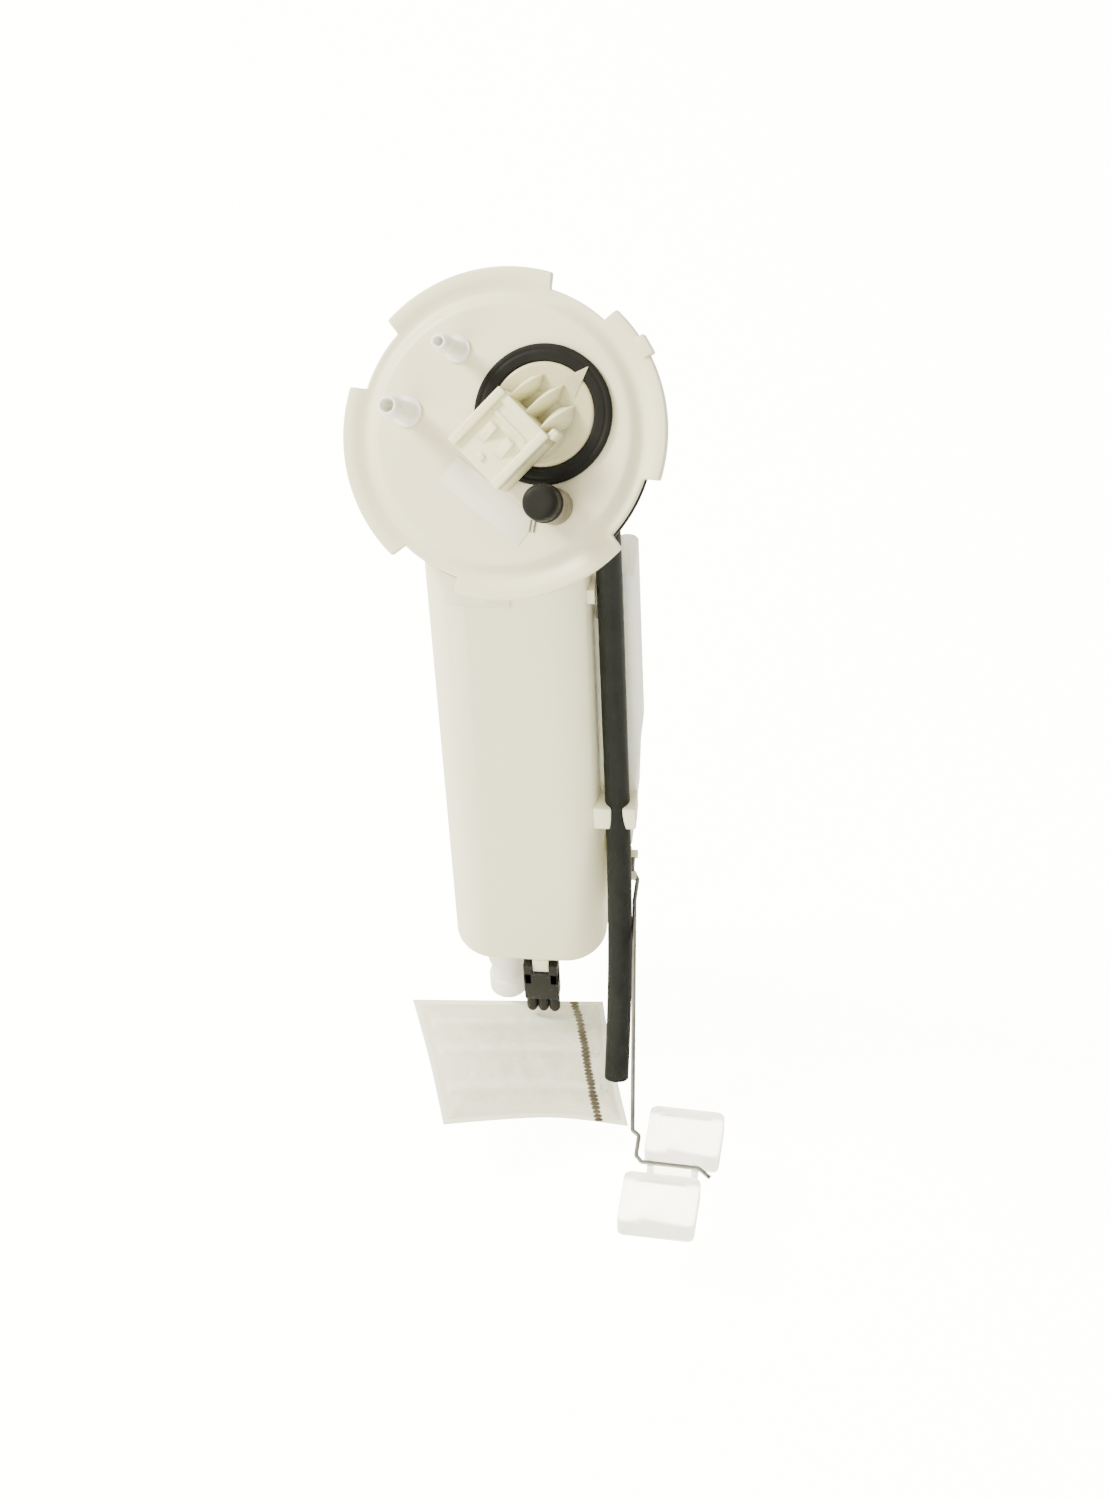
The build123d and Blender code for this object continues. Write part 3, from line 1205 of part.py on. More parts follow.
# ---- Level sender ------------------------------------------------------------------------------
def sender_bracket():
    """The open-backed rail that carries the sender beside the reservoir."""
    inner = BRACKET_INNER
    outer = inner + BRACKET_WIDTH
    outline = make_face(Polyline(
        (inner, BRACKET_END + 9), (inner, BRACKET_TOP), (outer, BRACKET_TOP), (outer, BRACKET_TOP - 102),
        (outer - 1.7, BRACKET_TOP - 118), (outer - 2.9, BRACKET_END + 20), (outer - 4.5, BRACKET_END + 5),
        (inner + 2.4, BRACKET_END), (inner, BRACKET_END), close=True,
    ))
    outline = fillet(outline.vertices().group_by(Axis.Y)[-1], BRACKET_TOP_ROUND)
    rail = Pos(0, BRACKET_FRONT + BRACKET_DEPTH, 0) * extrude(Plane.XZ * outline, amount=BRACKET_DEPTH)
    core = offset(outline, -BRACKET_WALL, kind=Kind.INTERSECTION)
    hollow = extrude(Plane.XZ * core, amount=BRACKET_DEPTH - BRACKET_WALL)
    hollow = Pos(0, BRACKET_FRONT + BRACKET_DEPTH, 0) * hollow
    spacing = (BRACKET_TOP - BRACKET_END) / (BRACKET_RIB_COUNT + 1)
    for index in range(BRACKET_RIB_COUNT):
        level = BRACKET_TOP - spacing * (index + 1)
        web = Pos(inner, BRACKET_FRONT, level) * Box(
            BRACKET_WIDTH, BRACKET_DEPTH - 3, BRACKET_WALL, align=(Align.MIN, Align.MIN, Align.CENTER))
        hollow -= web
    rail -= hollow
    for level in LUG_PLACES:
        rail += Pos(RESERVOIR_RIGHT, BRACKET_FRONT + 5, level) * Box(
            inner - RESERVOIR_RIGHT, LUG_WIDTH, LUG_HEIGHT, align=(Align.MIN, Align.MIN, Align.CENTER))
    return rail


def pivot_plane(x):
    """A plane across the arm's axis with its local X to the rear."""
    return Plane(origin=(x, PIVOT[0], PIVOT[1]), x_dir=(0, 1, 0), z_dir=(1, 0, 0))


def sender_body():
    """The moulded base of the sender with the pivot pin."""
    left = PIN_ROOT - BODY_THICKNESS
    height = BODY_TOP - BODY_END
    depth = BODY_BACK - BODY_FRONT
    plate = Pos(left, (BODY_FRONT + BODY_BACK) / 2, (BODY_TOP + BODY_END) / 2) * Box(
        BODY_THICKNESS, depth, height, align=(Align.MIN, Align.CENTER, Align.CENTER))
    plate = fillet(plate.edges().filter_by(Axis.X), BODY_CORNER)
    reach = HUB_FACE + HUB_THICKNESS + 0.2 - PIN_ROOT
    pin = pivot_plane(PIN_ROOT - 1).location * Cylinder(PIN_RADIUS, reach + 1, align=BOTTOM)
    head = pivot_plane(PIN_ROOT + reach).location * Cone(
        PIN_HEAD_RADIUS, PIN_RADIUS - 0.4, PIN_HEAD_THICKNESS, align=BOTTOM)
    pad = Pos(RESERVOIR_RIGHT, 2, BODY_TOP - 8) * Box(
        left - RESERVOIR_RIGHT + 0.5, 16, 10, align=(Align.MIN, Align.MIN, Align.CENTER))
    ridge = Pos(PIN_ROOT, BRACKET_FRONT + 4, BODY_TOP - 3) * Box(
        BRACKET_INNER - PIN_ROOT, 14, 3, align=(Align.MIN, Align.MIN, Align.MIN))
    return plate + pin + head + pad + ridge


def resistor_card():
    """The ceramic card that the wiper sweeps."""
    middle = PIVOT[1] - 1.0
    return Pos(PIN_ROOT, PIVOT[0] + 5.0, middle) * Box(
        CARD_THICKNESS, CARD_DEPTH, CARD_HEIGHT, align=(Align.MIN, Align.MIN, Align.CENTER))


def arm_turned(shape):
    """Turns a shape about the pivot so that its local X lies against the arm."""
    return Rot(0, 0, ARM_SLOPE) * shape


def wiper():
    """The spring strip on the hub's inner face."""
    blade = Pos(WIPER_REACH / 2, 0, 0) * Box(WIPER_REACH, WIPER_WIDTH, WIPER_THICKNESS, align=BOTTOM)
    strip = Cylinder(PIN_HEAD_RADIUS + 2.2, WIPER_THICKNESS, align=BOTTOM) + blade
    strip -= Cylinder(PIN_RADIUS + 0.6, FAR)
    return pivot_plane(HUB_FACE - WIPER_THICKNESS).location * arm_turned(strip)


def wire_points():
    """The wire's route from its end in the hub to the hook past the float."""
    slope = math.radians(ARM_SLOPE)
    level = HUB_FACE + HUB_THICKNESS + WIRE_RADIUS
    rise_y = -math.sin(slope) * WIRE_LIFT
    rise_z = math.cos(slope) * WIRE_LIFT
    back = 4.6
    front = 2.6
    rear = (level, PIVOT[0] + rise_y + math.cos(slope) * back, PIVOT[1] + rise_z + math.sin(slope) * back)
    tip = (HUB_FACE + 0.6, rear[1], rear[2])
    lead = (level, PIVOT[0] + rise_y - math.cos(slope) * front, PIVOT[1] + rise_z - math.sin(slope) * front)
    turn = math.radians(FLOAT_YAW)
    cross_end = (
        FLOAT_CENTRE[0] + CROSS_END, FLOAT_CENTRE[1] + CROSS_END * math.sin(turn),
        FLOAT_CENTRE[2] + CROSS_END * math.sin(turn) / 2)
    cross_start = (
        WIRE_CROSS_START[0], FLOAT_CENTRE[1] + (WIRE_CROSS_START[0] - FLOAT_CENTRE[0]) * math.sin(turn),
        FLOAT_CENTRE[2] + (WIRE_CROSS_START[0] - FLOAT_CENTRE[0]) * math.sin(turn) / 2)
    return [
        tip, rear, lead, WIRE_SPLAY_START, WIRE_SHANK_START, WIRE_SHANK_END, WIRE_JOG, WIRE_JOG_END,
        cross_start, cross_end, HOOK_END,
    ]


def bend_radii(points):
    """A tight bend at each corner, as large as its runs allow."""
    return [min(WIRE_BEND, limit) for limit in soft_radii(points)]


def wire(radius):
    points = wire_points()
    return tube_along(route(points, bend_radii(points)), radius)


def float_arm():
    """The bent steel wire of the float."""
    return wire(WIRE_RADIUS)


def arm_hub():
    """The hub that turns on the sender's pin and grips the wire."""
    disc = Cylinder(HUB_RADIUS, HUB_THICKNESS, align=BOTTOM)
    grip_height = 2 * WIRE_RADIUS + 1.0
    for place in (-5.0, 4.6):
        lug = Box(3.2, 2 * WIRE_RADIUS + 2.4, grip_height, align=BOTTOM)
        disc += Pos(place, WIRE_LIFT, HUB_THICKNESS) * lug
    disc += Pos(5.6, WIRE_LIFT, 0) * Cylinder(2.6, HUB_THICKNESS, align=BOTTOM)
    disc += Pos(-6.0, WIRE_LIFT, 0) * Cylinder(2.6, HUB_THICKNESS, align=BOTTOM)
    disc -= Cylinder(PIN_RADIUS + PIN_FIT, FAR)
    hub = pivot_plane(HUB_FACE).location * arm_turned(disc)
    return hub - wire(WIRE_RADIUS + WIRE_FIT)


def float_plane():
    """The float's own axes: X along the crosspiece, origin on the wire, Z up."""
    turn = math.radians(FLOAT_YAW)
    cross = Vector(1, math.sin(turn), math.sin(turn) / 2).normalized()
    across = Vector(0, 0, 1).cross(cross).normalized()
    return Plane(origin=FLOAT_CENTRE, x_dir=cross, z_dir=cross.cross(across))


def pontoon(left, right, low, high):
    """One hollow pontoon, open below, with a recessed panel on top."""
    width = right - left
    length = high - low
    body_height = FLOAT_THICKNESS - FLOAT_LID
    centre = Pos((left + right) / 2, (low + high) / 2, -body_height)
    block = centre * Box(width, length, body_height, align=BOTTOM)
    block = fillet(block.edges().filter_by(Axis.Z), FLOAT_ROUND)
    block = fillet(block.edges().group_by(Axis.Z)[-1], FLOAT_ROUND / 2)
    panel = Pos((left + right) / 2, (low + high) / 2, 0) * Box(
        width - 2 * PANEL_MARGIN, length - 2 * PANEL_MARGIN, 2 * PANEL_DEPTH)
    panel = fillet(panel.edges().filter_by(Axis.Z), FLOAT_ROUND / 2)
    hollow = Pos((left + right) / 2, (low + high) / 2, -body_height) * Box(
        width - 2 * FLOAT_WALL, length - 2 * FLOAT_WALL, body_height - FLOAT_WALL - PANEL_DEPTH, align=BOTTOM)
    hollow = fillet(hollow.edges().filter_by(Axis.Z), FLOAT_ROUND / 2)
    return block - panel - hollow


def float_shell():
    """The two staggered pontoons and the web that swivels on the wire."""
    near = pontoon(NEAR_LEFT, NEAR_RIGHT, -NEAR_GAP - NEAR_LENGTH, -NEAR_GAP)
    far = pontoon(FAR_LEFT, FAR_RIGHT, FAR_GAP, FAR_GAP + FAR_LENGTH)
    lift = Pos(0, 0, FLOAT_AXIS_DROP)
    body = lift * (near + far)
    left = max(NEAR_LEFT, FAR_LEFT) + FLOAT_ROUND
    right = min(NEAR_RIGHT, FAR_RIGHT) - FLOAT_ROUND
    floor = FLOAT_AXIS_DROP - FLOAT_THICKNESS + FLOAT_LID
    body += Pos(left, -NEAR_GAP - 0.2, floor) * Box(
        right - left, NEAR_GAP + FAR_GAP + 0.4, FLOAT_WEB, align=CORNER)
    reach = WIRE_RADIUS + SWIVEL_FIT + SLEEVE_WALL
    for place in (left, right - SLEEVE_LENGTH):
        body += Pos(place, -reach, floor) * Box(
            SLEEVE_LENGTH, reach + FAR_GAP + 0.2, reach - floor, align=CORNER)
    body -= Rot(0, 90, 0) * Cylinder(WIRE_RADIUS + SWIVEL_FIT, FAR)
    return float_plane().location * body


def float_lids():
    """The welded bottoms of the two pontoons."""
    lids = Part()
    low = FLOAT_AXIS_DROP - FLOAT_THICKNESS
    spans = (
        (NEAR_LEFT, NEAR_RIGHT, -NEAR_GAP - NEAR_LENGTH, -NEAR_GAP),
        (FAR_LEFT, FAR_RIGHT, FAR_GAP, FAR_GAP + FAR_LENGTH),
    )
    for left, right, near, far in spans:
        centre = Pos((left + right) / 2, (near + far) / 2, low)
        lid = centre * Box(right - left, far - near, FLOAT_LID, align=BOTTOM)
        lids += fillet(lid.edges().filter_by(Axis.Z), FLOAT_ROUND)
    return float_plane().location * lids


NODES = {
    "flange_cover": flange_cover,
    "flange_seal": flange_seal,
    "feed_pipe": lambda: cover_pipe(FEED_PLACE, FEED_RADIUS),
    "return_pipe": lambda: cover_pipe(RETURN_PLACE, RETURN_RADIUS),
    "vent_sleeve": vent_sleeve,
    "vent_cap": vent_cap,
    "connector_seal": connector_seal,
    "connector_header": connector_header,
    "connector_terminals": connector_terminals,
    "label": label,
    "mounting_collar": mounting_collar,
    "reservoir": reservoir,
    "inlet_grommet": inlet_grommet,
    "strainer_neck": strainer_neck,
    "strainer_frame": strainer_frame,
    "strainer_sock": strainer_sock,
    "strainer_clip": strainer_clip,
    "fill_valve": fill_valve,
    "pump_case": pump_case,
    "pump_inlet_cover": pump_inlet_cover,
    "impeller": impeller,
    "pump_plate": pump_plate,
    "pump_shaft": pump_shaft,
    "armature": armature,
    "motor_magnets": motor_magnets,
    "motor_brushes": motor_brushes,
    "pump_outlet_cover": pump_outlet_cover,
    "lower_isolator": lambda: pump_isolator(True),
    "upper_isolator": lambda: pump_isolator(False),
    "pump_retainer": pump_retainer,
    "delivery_tube": delivery_tube,
    "return_tube": return_tube,
    "auxiliary_hose": auxiliary_hose,
    "hose_clip": hose_clip,
    "sender_bracket": sender_bracket,
    "sender_body": sender_body,
    "resistor_card": resistor_card,
    "wiper": wiper,
    "arm_hub": arm_hub,
    "float_arm": float_arm,
    "float_shell": float_shell,
    "float_lids": float_lids,
}


def main():
    os.makedirs("parts", exist_ok=True)
    for name, make in NODES.items():
        save(name, make())


if __name__ == "__main__":
    main()
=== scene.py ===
"""Looks of the fuel pump module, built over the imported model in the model's own frame, in metres."""
from __future__ import annotations

import json
import logging
import math
from dataclasses import dataclass
from enum import Enum

import bmesh
import bpy
from mathutils import Matrix, Vector, noise

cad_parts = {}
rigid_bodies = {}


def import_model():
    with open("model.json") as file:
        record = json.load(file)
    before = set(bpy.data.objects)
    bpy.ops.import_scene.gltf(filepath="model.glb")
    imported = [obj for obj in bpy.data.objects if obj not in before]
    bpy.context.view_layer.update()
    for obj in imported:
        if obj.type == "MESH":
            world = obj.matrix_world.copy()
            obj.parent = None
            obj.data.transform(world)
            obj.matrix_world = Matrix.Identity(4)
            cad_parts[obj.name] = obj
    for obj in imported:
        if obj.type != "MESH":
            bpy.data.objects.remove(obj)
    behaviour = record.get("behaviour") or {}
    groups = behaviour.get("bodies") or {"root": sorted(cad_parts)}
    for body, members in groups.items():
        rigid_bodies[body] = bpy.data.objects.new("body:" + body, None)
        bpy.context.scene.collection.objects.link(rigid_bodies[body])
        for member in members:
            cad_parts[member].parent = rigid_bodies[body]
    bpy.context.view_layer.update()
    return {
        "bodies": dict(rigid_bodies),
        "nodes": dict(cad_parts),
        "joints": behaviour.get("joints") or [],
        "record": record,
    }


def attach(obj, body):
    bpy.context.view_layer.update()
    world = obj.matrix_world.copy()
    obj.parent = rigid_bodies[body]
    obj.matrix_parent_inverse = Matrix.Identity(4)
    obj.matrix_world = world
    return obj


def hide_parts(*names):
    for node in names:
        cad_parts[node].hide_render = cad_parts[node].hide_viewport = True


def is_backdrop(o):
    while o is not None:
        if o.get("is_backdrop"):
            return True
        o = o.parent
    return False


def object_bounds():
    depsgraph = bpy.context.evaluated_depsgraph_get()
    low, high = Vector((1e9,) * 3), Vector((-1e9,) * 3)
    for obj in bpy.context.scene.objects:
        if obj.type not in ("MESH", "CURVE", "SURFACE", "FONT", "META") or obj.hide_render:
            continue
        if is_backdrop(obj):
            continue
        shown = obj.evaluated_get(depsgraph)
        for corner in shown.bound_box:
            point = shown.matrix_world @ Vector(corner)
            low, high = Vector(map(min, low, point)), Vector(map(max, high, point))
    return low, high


LOG = logging.getLogger("scene")
MM = 0.001
SEED = 7
COVER_TOP = 5.2  # height of the cover's raised middle over its seat, in millimetres
COVER_UNDER = 2.2  # height of that middle's underside

Colour = tuple[float, float, float]
Profile = list[tuple[float, float]]


# ---- Frame of the tilted cover -----------------------------------------------------------------
@dataclass(frozen=True)
class TiltedPlane:
    """The cover's seating plane: origin at the rim's centre, normal out of the tank.

    Args:
        tilt: Degrees between the normal and the reservoir's axis.
        yaw: Degrees that the normal is turned from -Y towards -X.
    """

    tilt: float = 45.0
    yaw: float = 11.6

    def matrix(self) -> Matrix:
        """Returns: the matrix from the plane's axes to the model's, for lengths in millimetres."""
        tilt, yaw = math.radians(self.tilt), math.radians(self.yaw)
        normal = Vector((-math.sin(yaw) * math.sin(tilt), -math.cos(yaw) * math.sin(tilt), math.cos(tilt)))
        right = Vector((math.cos(yaw), -math.sin(yaw), 0.0))
        up = normal.cross(right)
        turned = Matrix((right, up, normal)).transposed().to_4x4()
        return Matrix.Scale(MM, 4) @ turned


FLANGE = TiltedPlane()


# ---- Finishes ----------------------------------------------------------------------------------
class Graph:
    """A small helper that adds and joins the nodes of one material."""

    def __init__(self, name: str) -> None:
        """Args: name: the new material's name."""
        self.material = bpy.data.materials.new(name)
        self.material.use_nodes = True
        self.tree = self.material.node_tree
        self.tree.nodes.clear()
        self.output = self.add("ShaderNodeOutputMaterial")
        self.shader = self.add("ShaderNodeBsdfPrincipled")
        self.link(self.shader, "BSDF", self.output, "Surface")
        self.place = self.add("ShaderNodeTexCoord")

    def add(self, kind: str, **values: object) -> bpy.types.Node:
        """Adds a node.

        Args:
            kind: The node's Blender type.
            values: Properties of the node, or, where it has none of that name, values of its inputs.
        Returns:
            The node.
        """
        node = self.tree.nodes.new(kind)
        for key, value in values.items():
            if hasattr(node, key):
                setattr(node, key, value)
            else:
                node.inputs[key.replace("_", " ")].default_value = value
        return node

    def link(self, start: bpy.types.Node, out: str | int, end: bpy.types.Node, into: str | int) -> None:
        """Joins an output to an input."""
        self.tree.links.new(start.outputs[out], end.inputs[into])

    def noise(self, scale: float, detail: float = 3.0, stretch: Vector | None = None) -> bpy.types.Node:
        """Adds a noise in object coordinates.

        Args:
            scale: Cells per metre.
            detail: Octaves.
            stretch: Scale along each axis before the noise, if it isn't even.
        Returns:
            The noise node.
        """
        texture = self.add("ShaderNodeTexNoise", Scale=scale, Detail=detail)
        if stretch is None:
            self.link(self.place, "Object", texture, "Vector")
            return texture
        mapping = self.add("ShaderNodeMapping")
        mapping.inputs["Scale"].default_value = stretch
        self.link(self.place, "Object", mapping, "Vector")
        self.link(mapping, "Vector", texture, "Vector")
        return texture

    def spread(self, source: bpy.types.Node, out: str | int, low: float, high: float) -> bpy.types.Node:
        """Maps a 0 to 1 value to a range.

        Args:
            source: The node that holds the value.
            out: Its output.
            low: What 0 becomes.
            high: What 1 becomes.
        Returns:
            The node that holds the mapped value in its output "Result".
        """
        node = self.add("ShaderNodeMapRange")
        node.inputs["To Min"].default_value = low
        node.inputs["To Max"].default_value = high
        self.link(source, out, node, "Value")
        return node

    def mix(self, factor: tuple[bpy.types.Node, str | int], low: object, high: object) -> bpy.types.Node:
        """Mixes two colours, each a colour or a (node, output) pair.

        Args:
            factor: The node and the output that hold the share of the second colour.
            low: The first colour.
            high: The second colour.
        Returns:
            The mix node, with its colour in output 2.
        """
        node = self.add("ShaderNodeMix", data_type="RGBA")
        self.link(factor[0], factor[1], node, 0)
        for index, value in ((6, low), (7, high)):
            if isinstance(value[0], bpy.types.Node):
                self.link(value[0], value[1], node, index)
            else:
                node.inputs[index].default_value = (*value, 1.0)
        return node

    def edges(self, radius: float, gain: float) -> bpy.types.Node:
        """Finds convex and concave edges.

        Args:
            radius: Width of the band along an edge, in metres.
            gain: How quickly the band reaches 1.
        Returns:
            A node whose output 0 is 0 on flat faces and 1 at an edge.
        """
        bevel = self.add("ShaderNodeBevel", samples=4)
        bevel.inputs["Radius"].default_value = radius
        geometry = self.add("ShaderNodeNewGeometry")
        dot = self.add("ShaderNodeVectorMath", operation="DOT_PRODUCT")
        self.link(bevel, "Normal", dot, 0)
        self.link(geometry, "Normal", dot, 1)
        turned = self.add("ShaderNodeMath", operation="SUBTRACT")
        turned.inputs[0].default_value = 1.0
        self.link(dot, "Value", turned, 1)
        band = self.add("ShaderNodeMath", operation="MULTIPLY", use_clamp=True)
        band.inputs[1].default_value = gain
        self.link(turned, 0, band, 0)
        return band

    def bump(self, layers: list[tuple[bpy.types.Node, str | int, float]]) -> None:
        """Stacks bumps on the shader's normal.

        Args:
            layers: For each layer, its node, its output and its height in metres.
        """
        last = None
        for node, out, height in layers:
            bump = self.add("ShaderNodeBump", Distance=height, Strength=1.0)
            self.link(node, out, bump, "Height")
            if last is not None:
                self.link(last, "Normal", bump, "Normal")
            last = bump
        self.link(last, "Normal", self.shader, "Normal")

    def surface(self, colour: bpy.types.Node, texture: bpy.types.Node, low: float, high: float) -> None:
        """Sets the shader's colour and roughness.

        Args:
            colour: The mix node that holds the colour.
            texture: The noise that the roughness follows.
            low: The roughness where the noise is 0.
            high: The roughness where it is 1.
        """
        self.link(colour, 2, self.shader, "Base Color")
        rough = self.spread(texture, "Fac", low, high)
        self.link(rough, "Result", self.shader, "Roughness")

    def set(self, **values: object) -> None:
        """Sets constants straight on the shader's sockets, with underscores for spaces."""
        for key, value in values.items():
            self.shader.inputs[key.replace("_", " ")].default_value = value


@dataclass(frozen=True)
class Moulded:
    """An injection-moulded plastic: mottling, orange peel, edges lightened by wear and painted highlight, and
    painted shade where the mesh asks for it.

    Args:
        colour: Linear base colour.
        shade: Colour of its darker patches.
        roughness: Middle roughness.
        depth: Subsurface weight.
        clear: Transmission weight.
        grain: Height of the orange peel, in metres.
        edge: Colour that its edges are lightened to, as rubbed wear and painted highlight.
        gloss: Specular level.
        painted_shade: Colour of the painted shade where the mesh's own shade attribute asks for it.
    """

    colour: Colour
    shade: Colour
    roughness: float = 0.42
    depth: float = 0.25
    clear: float = 0.0
    grain: float = 0.000012
    edge: Colour = (0.92, 0.90, 0.82)
    gloss: float = 0.4
    painted_shade: Colour = (0.46, 0.41, 0.24)

    def build(self, name: str) -> bpy.types.Material:
        """Builds the material.

        Args:
            name: Its name.
        Returns:
            The material.
        """
        graph = Graph(name)
        cloud = graph.noise(28.0, 4.0)
        flow = graph.noise(9.0, 2.0, Vector((1.0, 1.0, 0.25)))
        fine = graph.noise(2600.0, 2.0)
        speck = graph.noise(700.0, 5.0)
        tone = graph.spread(cloud, "Fac", -0.35, 1.05)
        body = graph.mix((tone, "Result"), self.shade, self.colour)
        drift = graph.spread(flow, "Fac", -0.2, 0.5)
        body = graph.mix((drift, "Result"), (body, 2), tuple(0.97 * c for c in self.colour))
        # Edges are lightened here: partly rubbed wear, partly painted highlight.
        edge_wear_and_highlight = graph.edges(0.0007, 1.6)
        part = graph.add("ShaderNodeMath", operation="MULTIPLY")
        part.inputs[1].default_value = 0.55
        graph.link(edge_wear_and_highlight, 0, part, 0)
        body = graph.mix((part, 0), (body, 2), self.edge)
        # Painted shade: the mesh's shade attribute darkens the colour where it is set.
        shade = graph.add("ShaderNodeAttribute", attribute_name="shade")
        body = graph.mix((shade, "Fac"), (body, 2), self.painted_shade)
        graph.surface(body, speck, self.roughness - 0.10, self.roughness + 0.12)
        graph.bump([(cloud, "Fac", 0.00005), (fine, "Fac", self.grain)])
        graph.set(Subsurface_Weight=self.depth, Subsurface_Radius=(1.0, 0.92, 0.75), Subsurface_Scale=0.004,
                  IOR=1.48, Transmission_Weight=self.clear, Specular_IOR_Level=self.gloss)
        return graph.material


@dataclass(frozen=True)
class Rubber:
    """A dull black rubber with a bloom of dust, a pebbled skin and lighter edges, partly wear and partly
    painted highlight.

    Args:
        colour: Linear base colour.
        bloom: Colour of its dusty patches.
        roughness: Middle roughness.
        ribs: Whether the fine lines of extrusion run along Z.
        gloss: Specular level.
    """

    colour: Colour
    bloom: Colour
    roughness: float = 0.5
    ribs: bool = False
    gloss: float = 0.07

    def build(self, name: str) -> bpy.types.Material:
        """Builds the material.

        Args:
            name: Its name.
        Returns:
            The material.
        """
        graph = Graph(name)
        cloud = graph.noise(60.0, 5.0)
        pebble = graph.noise(1500.0, 3.0)
        stretch = Vector((900.0, 900.0, 8.0)) if self.ribs else Vector((500.0, 500.0, 500.0))
        lines = graph.noise(1.0, 3.0, stretch)
        tone = graph.spread(cloud, "Fac", -0.5, 1.0)
        body = graph.mix((tone, "Result"), self.colour, self.bloom)
        # Edges are lightened towards the dust colour: partly rubbed wear, partly painted highlight.
        edge_wear_and_highlight = graph.edges(0.0005, 0.9)
        body = graph.mix((edge_wear_and_highlight, 0), (body, 2), tuple(2.2 * c for c in self.bloom))
        graph.surface(body, lines, self.roughness - 0.13, self.roughness + 0.15)
        graph.bump([(lines, "Fac", 0.00003), (pebble, "Fac", 0.000016)])
        graph.set(Specular_IOR_Level=self.gloss)
        return graph.material


@dataclass(frozen=True)
class Metal:
    """A bare or plated metal with drawn lines, stains and brighter edges, partly worn bare and partly painted
    highlight.

    Args:
        colour: Linear base colour.
        stain: Colour of its stains.
        roughness: Middle roughness.
        lines: Noise scale along X, Y and Z for the lines of its working.
    """

    colour: Colour
    stain: Colour
    roughness: float = 0.3
    lines: Colour = (1200.0, 1200.0, 30.0)

    def build(self, name: str) -> bpy.types.Material:
        """Builds the material.

        Args:
            name: Its name.
        Returns:
            The material.
        """
        graph = Graph(name)
        cloud = graph.noise(90.0, 5.0)
        drawn = graph.noise(1.0, 3.0, Vector(self.lines))
        tone = graph.spread(cloud, "Fac", -0.4, 1.1)
        body = graph.mix((tone, "Result"), self.stain, self.colour)
        # Edges are brightened: partly worn bare metal, partly painted highlight.
        edge_wear_and_highlight = graph.edges(0.0004, 1.2)
        body = graph.mix((edge_wear_and_highlight, 0), (body, 2), tuple(min(1.0, 1.35 * c) for c in self.colour))
        graph.surface(body, drawn, self.roughness - 0.12, self.roughness + 0.18)
        graph.bump([(drawn, "Fac", 0.00001)])
        graph.set(Metallic=1.0)
        return graph.material


@dataclass(frozen=True)
class FilterCloth:
    """A fine woven filter cloth, half see-through, from a weave in its own UVs.

    Args:
        colour: Colour of the threads.
        shade: Colour of the gaps between them.
        threads: Threads per metre of the drawn weave.
        cover: Share of light that the cloth stops.
    """

    colour: Colour
    shade: Colour
    threads: float = 1700.0
    cover: float = 0.90

    def build(self, name: str) -> bpy.types.Material:
        """Builds the material.

        Args:
            name: Its name.
        Returns:
            The material.
        """
        graph = Graph(name)
        graph.material.surface_render_method = "DITHERED"
        sheet = graph.add("ShaderNodeUVMap", uv_map="cloth")
        bands = []
        for axis in ("X", "Y"):
            band = graph.add("ShaderNodeTexWave", wave_type="BANDS", bands_direction=axis,
                             Scale=self.threads * math.pi / 10)
            graph.link(sheet, "UV", band, "Vector")
            bands.append(band)
        weave = graph.add("ShaderNodeMath", operation="MAXIMUM")
        for index, band in enumerate(bands):
            graph.link(band, "Fac", weave, index)
        weld = graph.add("ShaderNodeAttribute", attribute_name="weld")
        patch = graph.noise(70.0, 4.0)
        tone = graph.mix((patch, "Fac"), self.shade, self.colour)
        body = graph.mix((weave, 0), tuple(0.8 * c for c in self.shade), (tone, 2))
        body = graph.mix((weld, "Fac"), (body, 2), tuple(min(1.0, 1.08 * c) for c in self.colour))
        graph.surface(body, patch, 0.45, 0.7)
        thread = graph.spread(weave, 0, self.cover - 0.25, min(1.0, self.cover + 0.12))
        solid = graph.add("ShaderNodeMath", operation="MAXIMUM")
        graph.link(thread, "Result", solid, 0)
        graph.link(weld, "Fac", solid, 1)
        graph.link(solid, 0, graph.shader, "Alpha")
        graph.bump([(weave, 0, 0.00006), (patch, "Fac", 0.0002)])
        graph.set(Subsurface_Weight=0.2, Subsurface_Scale=0.002, Sheen_Weight=0.15)
        return graph.material


@dataclass(frozen=True)
class Printed:
    """A satin film label, with nothing printed on it.

    Args:
        colour: Linear base colour.
    """

    colour: Colour

    def build(self, name: str) -> bpy.types.Material:
        """Builds the material.

        Args:
            name: Its name.
        Returns:
            The material.
        """
        graph = Graph(name)
        crease = graph.noise(120.0, 4.0)
        fibre = graph.noise(1800.0, 2.0)
        tone = graph.mix((crease, "Fac"), tuple(0.93 * c for c in self.colour), self.colour)
        graph.surface(tone, crease, 0.28, 0.42)
        graph.bump([(crease, "Fac", 0.00004), (fibre, "Fac", 0.000006)])
        graph.set(Coat_Weight=0.25, Coat_Roughness=0.25)
        return graph.material


Finish = Moulded | Rubber | Metal | FilterCloth | Printed


